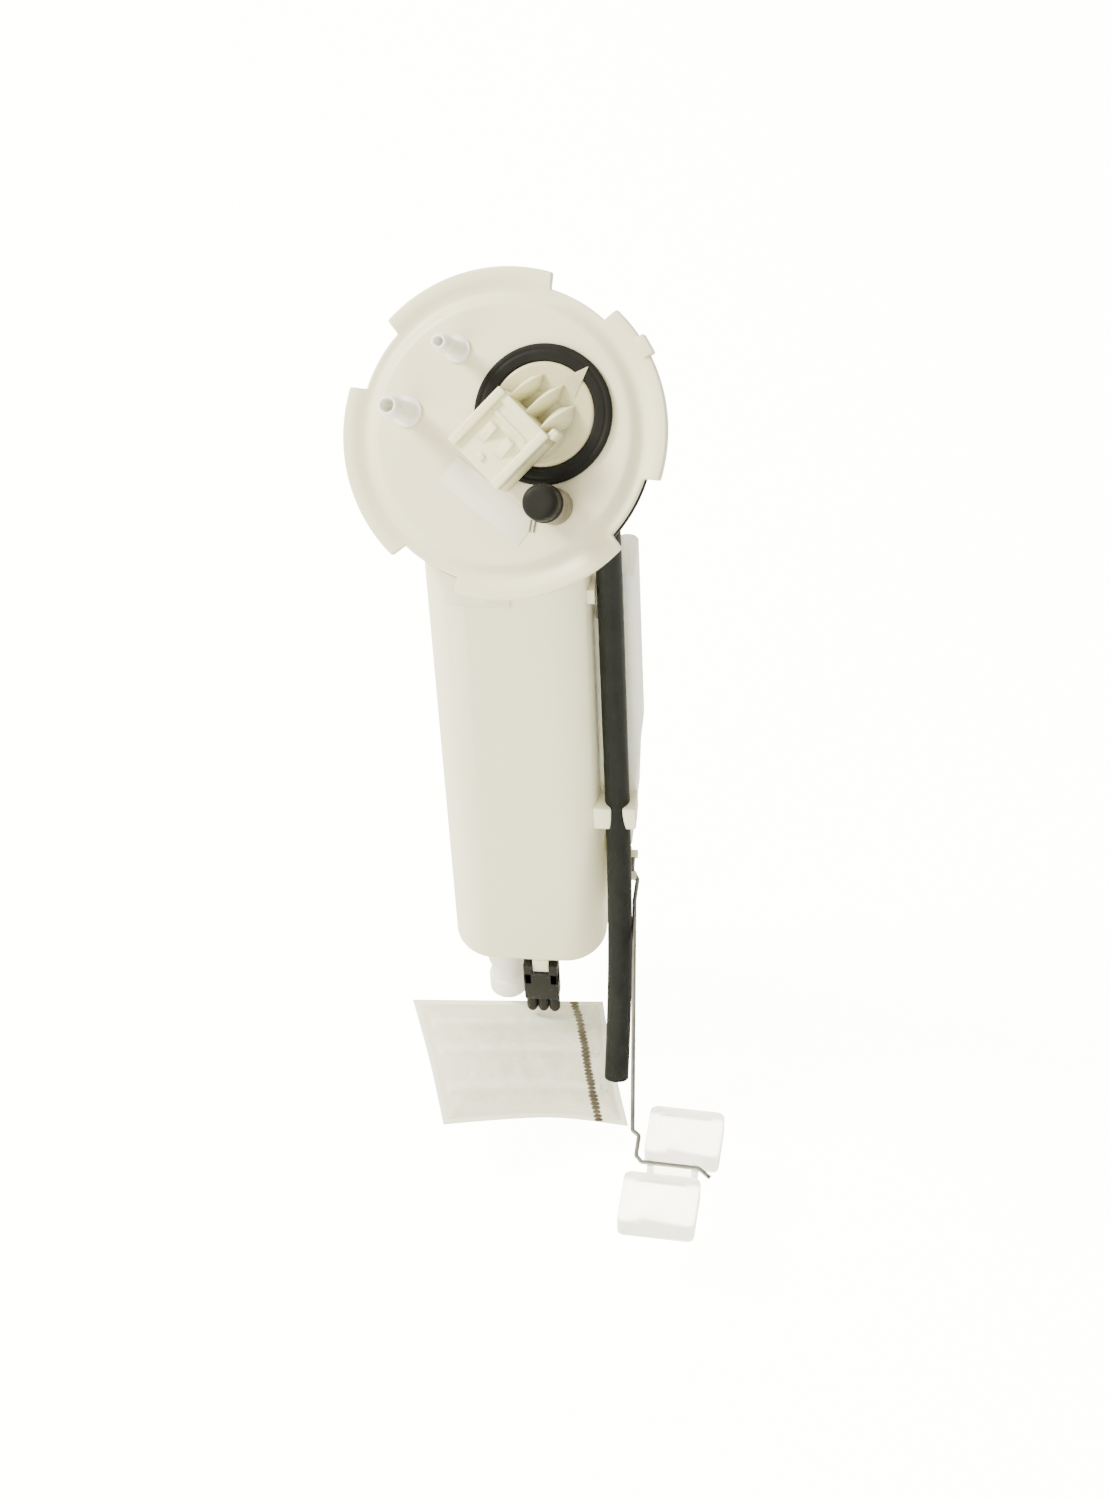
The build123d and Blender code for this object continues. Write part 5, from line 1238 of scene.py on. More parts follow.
@dataclass
class StrainerMount:
    """The stepped neck over the sock and the black three-fingered clip beside it.

    Args:
        palette: The materials.
        neck: The neck's axis.
        clip: The clip's place.
        top: Height of the neck's upper end.
        foot: Height at which the neck meets the sock.
        neck_radius: The neck's outer radius.
        bore: Its inner radius.
        step: How much slimmer its middle is.
        clip_half: Half the clip's width.
        clip_depth: Half its depth.
        finger: A finger's radius.
        pitch: Distance from one finger to the next.
    """

    palette: Palette
    neck: tuple[float, float] = (-13.5, -8.3)
    clip: tuple[float, float] = (3.6, -21.5)
    top: float = -290.0
    foot: float = -321.2
    neck_radius: float = 8.4
    bore: float = 5.2
    step: float = 1.2
    clip_half: float = 7.7
    clip_depth: float = 4.0
    finger: float = 2.5
    pitch: float = 5.0

    def build_neck(self) -> bpy.types.Object:
        """Returns: the neck's piece."""
        top, foot, r = self.top, self.foot, self.neck_radius
        slim, bore = r - self.step, self.bore
        profile = [
            (bore, top), (r, top), (r, top - 11.0), (slim, top - 12.0), (slim, foot + 10.5), (r, foot + 9.5),
            (r, foot + 1.0), (r - 1.0, foot), (bore, foot)]
        sculpt = Sculpt(Matrix.Scale(MM, 4))
        sculpt.lathe(eased(profile, 0.5, 3), self.neck, 72)
        piece = sculpt.piece("sock_neck", 50.0)
        return self.palette.finish(piece, Slot.NYLON_NATURAL, "module", "strainer_neck")

    def build_clip(self) -> bpy.types.Object:
        """Returns: the clip's piece."""
        x, y = self.clip
        half, depth, r, foot = self.clip_half, self.clip_depth, self.finger, self.foot
        sculpt = Sculpt(Matrix.Scale(MM, 4))
        sculpt.block((x - half, y - depth, foot + 11.2), (x + half, y + depth, foot + 28.7), 0.8)
        for side in (-1, 1):
            near, far = sorted((x + side * half, x + side * (half - 4.1)))
            sculpt.block((near, y - depth, foot + 21.2), (far, y + depth, foot + 33.7), 0.8)
        tip = [(0.0, foot + 13.2), (r, foot + 13.2), (r, foot + 2.4), (r - 0.8, foot + 0.6), (0.0, foot)]
        for index in (-1, 0, 1):
            sculpt.lathe(eased(tip, 0.9, 4, False), (x + index * self.pitch, y), 28, False)
        piece = sculpt.piece("sock_clip", 45.0)
        return self.palette.finish(piece, Slot.NYLON_BLACK, "module", "strainer_clip")


@dataclass
class PipeStub:
    """One moulded pipe stub with its bead and its foot.

    Args:
        palette: The materials.
        name: The piece's name.
        node: The CAD node that it stands for.
        place: Its place on the cover.
        radius: Its outer radius.
        seat: Height of the cover's raised middle.
        under: Height of that middle's underside.
        height: The pipe's height over its seat.
        wall: Its wall.
        bead_drop: From its tip to its bead.
        bead_rise: How far the bead stands out.
        foot: How far its foot stands out.
    """

    palette: Palette
    name: str
    node: str
    place: tuple[float, float]
    radius: float
    seat: float = COVER_TOP
    under: float = COVER_UNDER
    height: float = 28.0
    wall: float = 1.3
    bead_drop: float = 7.0
    bead_rise: float = 0.88
    foot: float = 2.2

    def build(self) -> bpy.types.Object:
        """Returns: the pipe's piece."""
        tip, r, seat, under = self.seat + self.height, self.radius, self.seat, self.under
        bead, proud, foot = tip - self.bead_drop, r + self.bead_rise, r + self.foot
        profile = [
            (r, under), (r, seat), (foot, seat), (foot, seat + 1.2), (r + 1.0, seat + 1.2), (r, seat + 2.4),
            (r, bead - 1.1), (proud, bead - 0.25), (proud, bead + 0.1), (r, bead + 1.1), (r, tip - 0.9),
            (r - 0.45, tip), (r - self.wall, tip), (r - self.wall, under)]
        sculpt = Sculpt(FLANGE.matrix())
        sculpt.lathe(eased(profile, 0.4, 3), self.place, 64)
        return self.palette.finish(sculpt.piece(self.name, 50.0), Slot.NYLON_NATURAL, "module", self.node)


@dataclass
class AuxiliaryPort:
    """The capped port: a crimped metal collar with its two legs, and a pull-off rubber cap.

    Args:
        palette: The materials.
        place: Its place on the cover.
        seat: Height of the cover's raised middle.
        collar: The collar's radius.
        collar_height: Its height.
        bore: The port's radius inside it.
        cap: The cap's radius.
        cap_height: Its height.
        crimp: Depth of the collar's crimped rings.
        leg: Width of a leg.
        fit: Clearance of the cap round the port.
    """

    palette: Palette
    place: tuple[float, float] = (26.2, -24.5)
    seat: float = COVER_TOP
    collar: float = 7.2
    collar_height: float = 16.5
    bore: float = 4.4
    cap: float = 7.6
    cap_height: float = 9.6
    crimp: float = 0.45
    leg: float = 0.6
    fit: float = 0.06

    def build_collar(self) -> bpy.types.Object:
        """Returns: the metal collar's piece."""
        low, high, r = self.seat, self.seat + self.collar_height, self.collar
        profile = [(self.bore, low), (r, low)]
        dent = r - self.crimp
        for level in (high - 7.4, high - 4.6, high - 1.9):
            profile += [(r, level - 0.9), (dent, level - 0.35), (dent, level + 0.35), (r, level + 0.9)]
        profile += [(r, high), (self.bore, high)]
        sculpt = Sculpt(FLANGE.matrix())
        sculpt.lathe(eased(profile, 0.3, 3), self.place, 80)
        piece = sculpt.piece("port_collar", 55.0)
        self.palette.finish(piece, Slot.PLATED_COLLAR, "module", "vent_sleeve")
        legs = Sculpt(FLANGE.matrix())
        half, x, y = self.leg / 2, self.place[0] - self.collar, self.place[1]
        for shift in (-1.0, 0.7):
            corner = (x + shift - half, y - 11.4, low)
            legs.block(corner, (x + shift + half, y - 6.6, low + 0.55), 0.15)
        pins = legs.piece("port_legs")
        self.palette.finish(pins, Slot.PLATED_COLLAR, "module")
        return piece

    def build_cap(self) -> bpy.types.Object:
        """Returns: the rubber cap's piece."""
        low = self.seat + self.collar_height
        high, r, bore, roof = low + self.cap_height, self.cap, self.bore + self.fit, low + 7.0
        outside = [
            (bore, low), (r, low), (r, low + 1.5), (r - 0.45, low + 2.1), (r - 0.45, high - 2.6),
            (r - 0.9, high - 1.3), (r - 2.0, high - 0.35), (r - 3.4, high - 0.05), (2.6, high)]
        inside = [(0.0, high - 0.12), (0.0, roof), (bore, roof)]
        sculpt = Sculpt(FLANGE.matrix())
        sculpt.lathe(eased(outside, 0.9, 4, False) + inside, self.place, 80)
        return self.palette.finish(sculpt.piece("port_cap", 60.0), Slot.RUBBER_BLACK, "cap", "vent_cap")


@dataclass
class HarnessSocket:
    """The harness socket: a disc with an arrow in a black rubber ring, and a hollow plug box behind it.

    Args:
        palette: The materials.
        place: The ring's centre on the cover.
        turn: Direction of the closed back of the box, in degrees.
        seat: Height of the cover's raised middle.
        under: Height of its underside.
        ring: The rubber ring's outer radius.
        hole: Its inner radius, round the disc.
        neck: Its radius in the cover's hole.
        lip: How far it stands over the cover, and hangs under it.
        mouth: From the ring's centre to the box's open end.
        back: From the ring's centre to its closed end.
        width: The box's width.
        height: Its height.
        wall: Its wall.
        lift: Its height over the cover.
        rail: Width of the two rails on its top.
        arrow: The arrow's tip from the ring's centre, and half its width.
        gusset: Reach of the middle gusset.
        gusset_gap: Distance from one gusset to the next.
        shift: How far the box lies from the ring's own axes.
        shade: How far the disc is darkened with painted shade, from 0 to 1.
    """

    palette: Palette
    place: tuple[float, float] = (15.1, 9.7)
    turn: float = 55.0
    seat: float = COVER_TOP
    ring: float = 27.5
    hole: float = 20.5
    lip: float = 2.2
    mouth: float = 31.5
    back: float = 3.0
    width: float = 28.0
    height: float = 14.0
    wall: float = 2.0
    lift: float = 3.2
    rail: float = 3.8
    arrow: tuple[float, float] = (25.7, 4.8)
    gusset: float = 16.4
    gusset_gap: float = 8.8
    shift: Colour = (0.5, 1.9, 0.0)
    shade: float = 0.8
    under: float = COVER_UNDER
    neck: float = 23.6

    def matrix(self) -> Matrix:
        """Returns: the matrix from the socket's axes to the model's."""
        turned = Matrix.Rotation(math.radians(self.turn), 4, "Z")
        return FLANGE.matrix() @ Matrix.Translation((*self.place, 0.0)) @ turned

    def build_ring(self) -> bpy.types.Object:
        """Returns: the rubber ring's piece."""
        under, top, low, r = self.under, self.seat + self.lip, self.under - self.lip, self.ring
        profile = [
            (self.hole, low), (r - 1.1, low), (r - 1.1, under), (self.neck, under), (self.neck, self.seat),
            (r, self.seat), (r, top - 0.2), (r - 1.6, top), (r - 2.4, top - 0.3), (r - 3.2, top),
            (self.hole + 0.7, top), (self.hole, top - 0.5)]
        sculpt = Sculpt(self.matrix())
        sculpt.lathe(eased(profile, 0.6, 4), (0.0, 0.0), 144)
        piece = sculpt.piece("socket_ring", 60.0)
        return self.palette.finish(piece, Slot.RUBBER_BLACK, "module", "connector_seal")

    def disc(self, sculpt: Sculpt) -> None:
        """Adds the disc, its pedestal and its arrow.

        Args:
            sculpt: What they join.
        """
        top, low, base = self.seat + 2.3, self.seat - 5.0, self.seat + self.lift
        rim = self.hole - 0.05
        profile = [(0.0, top), (rim - 1.15, top), (rim, top - 0.5), (rim, low), (0.0, low)]
        sculpt.lathe(eased(profile, 0.6, 3, False), (0.0, 0.0), 120, False)
        foot = [(0.0, base + 0.4), (12.6, base + 0.4), (13.2, top + 0.5), (14.2, top - 0.1)]
        sculpt.lathe(eased(foot, 0.5, 3, False), (-self.back - 3.0, 0.0), 90, False)
        tip, half = self.arrow
        arrow = [(self.hole - 7, -half), (tip, 0.0), (self.hole - 7, half)]
        sculpt.prism(eased(arrow, 0.35, 2), top - 0.6, self.seat + self.lip + 0.35, 0.2)

    def box(self, sculpt: Sculpt) -> None:
        """Adds the hollow box, open at its mouth.

        Args:
            sculpt: What it joins.
        """
        low, high = self.seat + self.lift, self.seat + self.lift + self.height
        start, end, half, wall = -self.mouth, -self.back, self.width / 2, self.wall
        sculpt.block((start, -half, low), (end, half, low + wall), 0.5)
        sculpt.block((start, -half, high - wall), (end, half, high), 0.5)
        for side in (-1, 1):
            near, far = sorted((side * half, side * (half - wall)))
            sculpt.block((start, near, low), (end, far, high + 0.2), 0.5)
            rail_in, rail_out = sorted((side * half, side * (half - self.rail)))
            sculpt.block((start, rail_in, high - 1.2), (end, rail_out, high + 2.2), 0.6)
        sculpt.block((end - 3.6, -half, low), (end, half, high + 1.1), 0.6)

    def trim(self, sculpt: Sculpt) -> None:
        """Adds the latch ramps, the bump, the lug and the three leaf-shaped gussets.

        Args:
            sculpt: What they join.
        """
        low, high = self.seat + self.lift, self.seat + self.lift + self.height
        upright = Matrix.Rotation(math.pi / 2, 4, "X")
        for side in (-1, 1):
            middle = side * 4.6
            start = 8.0 - self.mouth
            outline = [(start, high - 0.4), (start + 9.0, high - 0.4), (start + 9.0, high + 3.1),
                       (start + 7.6, high + 3.1)]
            sculpt.prism(eased(outline, 0.5, 2), -middle - 1.8, -middle + 1.8, 0.35, upright)
        sculpt.block((-self.mouth + 3.0, -1.6, high - 0.5), (-self.mouth + 5.6, 1.2, high + 1.1), 0.5)
        sculpt.block((-self.back - 8.6, -8.4, high - 0.5), (-self.back - 7.2, 8.4, high + 0.6), 0.3)
        end, side = -self.back, -self.width / 2
        sculpt.block((end - 0.6, side - 1.4, low + 5.0), (end + 3.4, side + 2.0, high - 1.2), 0.9)
        for side in (-1, 0, 1):
            reach, girth = self.gusset - 2.6 * abs(side), 1.5 if side < 0 else 1.1
            stations = []
            for step in range(21):
                t = step / 20
                half = (1.3 + 1.3 * math.sin(math.pi * min(1.0, 0.08 + 0.94 * t))) * girth
                half *= min(1.0, 3.2 * (1.02 - t))
                tall = (high - low + 0.6) * (1 - 0.96 * t**1.6) + 0.3
                foot = Vector((-self.back + reach * t, side * self.gusset_gap, low - 0.9))
                stations.append((foot, Vector((0, 1, 0)), Vector((0, 0, 1)), half, tall))
            sculpt.arch(stations)

    def build_header(self) -> bpy.types.Object:
        """Returns: the socket's piece."""
        sculpt = Sculpt(self.matrix())
        # The disc is darkened with painted shade; the box and trim get none.
        sculpt.tone = self.shade
        self.disc(sculpt)
        sculpt.tone = 0.0
        sculpt.matrix = self.matrix() @ Matrix.Translation(self.shift)
        self.box(sculpt)
        self.trim(sculpt)
        piece = sculpt.piece("socket_header", 42.0)
        return self.palette.finish(piece, Slot.NYLON_CREAM, "module", "connector_header")


# ---- Float -------------------------------------------------------------------------------------
@dataclass
class FloatPair:
    """The two staggered float boxes, their sunk panels and the web that swivels on the wire.

    Args:
        palette: The materials.
        centre: The float's centre on the wire.
        yaw: Degrees of the crosspiece from +X.
        thickness: The boxes' height.
        drop: Depth of the wire's axis below their tops.
        boxes: Left, right, near and far side of each box, from the wire.
    """

    palette: Palette
    centre: Colour = (67.0, -114.2, -309.3)
    yaw: float = -3.0
    thickness: float = 11.5
    drop: float = 2.2
    boxes: tuple[tuple[float, float, float, float], ...] = (
        (-18.0, 15.0, -32.8, -6.0), (-11.5, 20.9, 5.0, 30.4))

    def matrix(self) -> Matrix:
        """Returns: the matrix from the float's axes to the model's."""
        turn = math.radians(self.yaw)
        cross = Vector((1.0, math.sin(turn), math.sin(turn) / 2)).normalized()
        across = Vector((0, 0, 1)).cross(cross).normalized()
        up = cross.cross(across)
        turned = Matrix((cross, across, up)).transposed().to_4x4()
        return Matrix.Scale(MM, 4) @ Matrix.Translation(self.centre) @ turned

    def pontoon(self, sculpt: Sculpt, left: float, right: float, near: float, far: float) -> None:
        """Adds one float box with a sunk panel and a welded seam.

        Args:
            sculpt: What it joins.
            left: Its lowest x.
            right: Its highest x.
            near: Its lowest y.
            far: Its highest y.
        """
        high, low = self.drop, self.drop - self.thickness

        def ring(inset: float, level: float, radius: float) -> list[bmesh.types.BMVert]:
            """Draws one level's rounded outline.

            Args:
                inset: How far it lies inside the box's sides.
                level: Its height.
                radius: Rounding of its corners.
            Returns:
                Its vertices.
            """
            corner = [(left + inset, near + inset), (right - inset, near + inset),
                      (right - inset, far - inset), (left + inset, far - inset)]
            return [sculpt.vert(Vector((x, y, level))) for x, y in eased(corner, radius, 6)]

        walls = [(0.5, 0.0, 3.2), (0.08, 0.5, 3.4), (0.0, 1.2, 3.4), (0.28, 1.4, 3.3), (0.0, 1.6, 3.4)]
        tops = [
            (0.0, 2.2, 3.4), (0.12, 1.3, 3.4), (0.55, 0.55, 3.3), (1.2, 0.12, 3.2), (2.0, 0.0, 3.0),
            (4.4, 0.0, 2.4), (4.9, 0.12, 2.3), (5.3, 0.55, 2.2), (5.8, 0.75, 2.1)]
        rings = [ring(inset, low + rise, radius) for inset, rise, radius in walls]
        rings += [ring(inset, high - fall, radius) for inset, fall, radius in tops]
        skin(sculpt.form, rings)
        sculpt.form.faces.new(rings[0][::-1])
        sculpt.form.faces.new(rings[-1])

    def build(self) -> bpy.types.Object:
        """Returns: the float's piece."""
        sculpt = Sculpt(self.matrix())
        for box in self.boxes:
            self.pontoon(sculpt, *box)
        left, right = self.boxes[1][0] + 2.4, self.boxes[0][1] - 2.4
        floor = self.drop - self.thickness + 1.4
        sculpt.block((left, -6.6, floor), (right, 5.6, floor + 2.0), 0.5)
        for place in (left, right - 2.6):
            sculpt.block((place, -2.0, floor), (place + 2.6, 1.8, 0.4), 0.6)
        piece = sculpt.piece("float_pair", 45.0)
        return self.palette.finish(piece, Slot.FLOAT_WHITE, "float", "float_shell", "float_lids")


# ---- Auxiliary hose ----------------------------------------------------------------------------
@dataclass
class AuxiliaryHose:
    """The black rubber hose that leaves the cover, passes the clip and hangs over the strainer.

    Args:
        palette: The materials.
        radius: Outer radius, in millimetres.
        bore: Inner radius.
        depth: How far the open end's bore is modelled.
        ease: Rounding of the cut end's outer edge.
        around: Points round the section.
        route: The control points of its centreline.
    """

    palette: Palette
    radius: float = 5.3
    bore: float = 3.4
    depth: float = 14.0
    ease: float = 0.35
    around: int = 40
    route: tuple[Colour, ...] = (
        (39.4, -8.0, -22.0), (39.4, -8.0, -78.0), (39.2, -8.4, -136.0), (39.4, -11.2, -190.0),
        (40.1, -22.0, -238.0), (40.6, -40.5, -284.0), (39.5, -58.4, -321.4))

    def line(self) -> list[Vector]:
        """Returns: points along the hose's smooth centreline, in metres."""
        curve = bpy.data.curves.new("hose_line", "CURVE")
        curve.dimensions = "3D"
        curve.resolution_u = 24
        spline = curve.splines.new("NURBS")
        spline.points.add(len(self.route) - 1)
        for point, place in zip(spline.points, self.route):
            point.co = (*(c * MM for c in place), 1.0)
        spline.order_u = 3
        spline.use_endpoint_u = True
        holder = bpy.data.objects.new("hose_line", curve)
        bpy.context.scene.collection.objects.link(holder)
        bpy.context.view_layer.update()
        data = bpy.data.meshes.new_from_object(holder.evaluated_get(bpy.context.evaluated_depsgraph_get()))
        points = [v.co.copy() for v in data.vertices]
        bpy.data.objects.remove(holder)
        bpy.data.meshes.remove(data)
        return points

    def build(self) -> bpy.types.Object:
        """Returns: the hose's piece."""
        points = self.line()
        form = bmesh.new()
        side = Vector((1.0, 0.0, 0.0))
        rings = []

        def section(place: Vector, along: Vector, radius: float) -> list[bmesh.types.BMVert]:
            """Draws a ring across the hose.

            Args:
                place: Its middle, in metres.
                along: The hose's direction there.
                radius: Its radius, in millimetres.
            Returns:
                Its vertices.
            """
            first = (side - along * side.dot(along)).normalized()
            second = along.cross(first)
            angles = (2 * math.pi * step / self.around for step in range(self.around))
            spokes = (first * math.cos(angle) + second * math.sin(angle) for angle in angles)
            return [form.verts.new(place + spoke * radius * MM) for spoke in spokes]

        count = len(points)
        ways = [(points[min(i + 1, count - 1)] - points[max(i - 1, 0)]).normalized() for i in range(count)]
        end, away = points[-1], ways[-1]
        start, back = points[0], ways[0]
        for depth, radius in ((2.0, self.bore), (0.0, self.bore), (0.0, self.radius)):
            rings.append(section(start + back * depth * MM, back, radius))
        for place, way in zip(points[1:-1], ways[1:-1]):
            rings.append(section(place, way, self.radius))
        ease, radius, bore = self.ease, self.radius, self.bore
        lip = (
            (ease * 1.6, radius), (ease, radius), (ease * 0.35, radius - ease * 0.35), (0.0, radius - ease),
            (0.0, bore + ease * 0.6), (ease * 0.6, bore), (self.depth, bore))
        for depth, radius in lip:
            rings.append(section(end - away * depth * MM, away, radius))
        skin(form, rings)
        form.faces.new(rings[0])
        form.faces.new(rings[-1])
        piece = mesh_piece("rubber_hose", form)
        self.palette.finish(piece, Slot.HOSE_BLACK, "module", "auxiliary_hose")
        return piece


# ---- Strainer sock -----------------------------------------------------------------------------
@dataclass
class StrainerSock:
    """The flat pouch of filter cloth round the strainer's frame, with welded edges.

    Args:
        palette: The materials.
        corners: The outline's corners in the sock's own plane, from the far left, clockwise seen from above.
        dock: Where the neck enters its edge.
        yaw: Degrees about the reservoir's axis.
        roll: Degrees that its right side hangs lower.
        width: Its middle width.
        length: Its middle length.
        weld: Width of the welded edge.
        film: Half its thickness at that edge.
        swell: Half the pouch's thickness at its fullest.
        rise: Distance from the edge over which it fills.
        flatter: Share of that thickness on its underside.
        sag: How far its near edge bows out.
        wave: How far that edge wavers.
        waist: How far its sides draw in.
        ribs: Where the frame's cross ribs lie, from 0 at the far edge to 1 at the near.
        rib_span: Where they start and end, from 0 at the left edge to 1 at the right.
        rib_width: Half the width of the cloth that one lifts.
        rib_lift: How far one lifts it.
        rib_tint: How far the cloth over one looks solid, from 0 to 1.
        ripple: Height of its wide ripples.
        crease: Height of its narrow creases.
        seam: Where the seam crosses it, from 0 at the left edge to 1 at the right.
        stitches: How many stitches the seam has.
        stitch: A stitch's size along the seam, across it and upwards, in metres.
        columns: Faces across its width.
        rows: Faces along its length.
    """

    palette: Palette
    corners: tuple[tuple[float, float], ...] = ((-41.2, 2.6), (46.4, 2.2), (46.2, -69.8), (-36.4, -69.6))
    dock: Colour = (-15.0, -19.5, -322.0)
    yaw: float = 14.1
    roll: float = 12.6
    width: float = 86.0
    length: float = 70.6
    weld: float = 2.6
    film: float = 0.14
    swell: float = 3.4
    rise: float = 7.0
    flatter: float = 0.92
    sag: float = 4.2
    wave: float = 0.35
    waist: float = 0.8
    ribs: tuple[float, ...] = (0.19, 0.42, 0.72)
    rib_span: tuple[float, float] = (0.06, 0.90)
    rib_width: float = 2.6
    rib_lift: float = 0.8
    rib_tint: float = 0.6
    ripple: float = 0.45
    crease: float = 0.16
    seam: float = 0.846
    stitches: int = 34
    stitch: Colour = (0.0022, 0.0042, 0.0006)
    columns: int = 150
    rows: int = 120

    def axes(self) -> tuple[Vector, Vector, Vector]:
        """Returns: the sock's width, length and normal directions."""
        yaw, roll = math.radians(self.yaw), math.radians(self.roll)
        along = Vector((math.cos(yaw) * math.cos(roll), math.sin(yaw) * math.cos(roll), -math.sin(roll)))
        across = Vector((-math.sin(yaw), math.cos(yaw), 0.0))
        return along, across, along.cross(across)

    def place(self, u: float, v: float) -> tuple[float, float]:
        """Finds a point of the outline's patch.

        Args:
            u: From 0 at the left edge to 1 at the right.
            v: From 0 at the far edge to 1 at the near.
        Returns:
            Its place in the sock's plane.
        """
        far_left, far_right, near_right, near_left = (Vector(c) for c in self.corners)
        far = far_left.lerp(far_right, u)
        near = near_left.lerp(near_right, u)
        place = far.lerp(near, v)
        sag = self.sag * math.sin(math.pi * u)
        place.y += sag * (v * v) + self.wave * math.sin(9 * u + 2.0) * v
        place.x += self.waist * math.sin(math.pi * v) * (1 - 2 * u)
        return place.x, place.y

    def inward(self, u: float, v: float) -> float:
        """Returns: the distance from (u, v) to the pouch's nearest edge."""
        return min(min(u, 1 - u) * self.width, min(v, 1 - v) * self.length)

    def rib(self, u: float, v: float) -> float:
        """Says how closely the cloth lies over one of the frame's cross ribs.

        Args:
            u: From 0 at the left edge to 1 at the right.
            v: From 0 at the far edge to 1 at the near.
        Returns:
            A share from 0 to 1.
        """
        start, end = self.rib_span
        if not start < u < end:
            return 0.0
        return max(math.exp(-((v - rib) * self.length / self.rib_width) ** 2) for rib in self.ribs)

    def height(self, u: float, v: float) -> float:
        """Finds the cloth's height over the pouch's middle plane.

        Args:
            u: From 0 at the left edge to 1 at the right.
            v: From 0 at the far edge to 1 at the near.
        Returns:
            The height there.
        """
        edge = self.inward(u, v) - self.weld
        if edge <= 0:
            return self.film
        rise = 1 - math.exp(-edge / self.rise)
        belly = self.swell * rise * (0.62 + 0.16 * math.sin(math.pi * u) * math.sin(math.pi * v))
        tented = belly + self.rib(u, v) * rise * self.rib_lift
        ripple = noise.noise(Vector((u * 9.0, v * 7.0, 3.0))) * self.ripple
        ripple += noise.noise(Vector((u * 26.0, v * 20.0, 9.0))) * self.crease
        return max(self.film, tented + ripple * rise)

    def build(self) -> bpy.types.Object:
        """Returns: the sock's piece."""
        along, across, normal = self.axes()
        form = bmesh.new()
        cloth = form.loops.layers.uv.new("cloth")
        weld = form.verts.layers.float.new("weld")
        sheets = []
        for side in (1, -1):
            grid = []
            for row in range(self.rows + 1):
                line = []
                for column in range(self.columns + 1):
                    u, v = column / self.columns, row / self.rows
                    x, y = self.place(u, v)
                    lift = self.height(u, v) * side * (1.0 if side > 0 else self.flatter)
                    spot = Vector(self.dock) + along * x + across * y + normal * lift
                    vert = form.verts.new(spot * MM)
                    solid = self.inward(u, v) < self.weld
                    vert[weld] = 1.0 if solid else self.rib_tint * self.rib(u, v)
                    line.append((vert, (x * MM, y * MM)))
                grid.append(line)
            for row in range(self.rows):
                for column in range(self.columns):
                    near, far = grid[row], grid[row + 1]
                    ring = [near[column], near[column + 1], far[column + 1], far[column]]
                    if side > 0:
                        ring.reverse()
                    face = form.faces.new([corner[0] for corner in ring])
                    for loop, corner in zip(face.loops, ring):
                        loop[cloth].uv = corner[1]
            sheets.append(grid)
        top, bottom = sheets
        wide, long = self.columns, self.rows
        border = [(0, c) for c in range(wide)] + [(r, wide) for r in range(long)]
        border += [(long, c) for c in range(wide, 0, -1)] + [(r, 0) for r in range(long, 0, -1)]
        for first, second in zip(border, border[1:] + border[:1]):
            ring = [top[first[0]][first[1]], top[second[0]][second[1]],
                    bottom[second[0]][second[1]], bottom[first[0]][first[1]]]
            face = form.faces.new([corner[0] for corner in ring])
            for loop, corner in zip(face.loops, ring):
                loop[cloth].uv = corner[1]
        piece = mesh_piece("filter_sock", form)
        self.palette.finish(piece, Slot.STRAINER_MESH, "module", "strainer_sock")
        self.build_seam()
        return piece

    def build_seam(self) -> None:
        """Adds the brown stitched seam that crosses the cloth near its right side."""
        along, across, normal = self.axes()
        path = []
        for step in range(61):
            v = 0.015 + 0.97 * step / 60
            u = self.seam + 0.006 * math.sin(2 * math.pi * v)
            x, y = self.place(u, v)
            spot = Vector(self.dock) + along * x + across * y + normal * (self.height(u, v) + 0.12)
            path.append(spot * MM)
        stitches = PathRepeater(self.stitches, self.stitch, tuple(normal), True, 0.10)
        piece = stitches.build("sock_seam", path, False, self.palette.get(Slot.PLATED_COLLAR))
        self.palette.finish(piece, Slot.PLATED_COLLAR, "module")


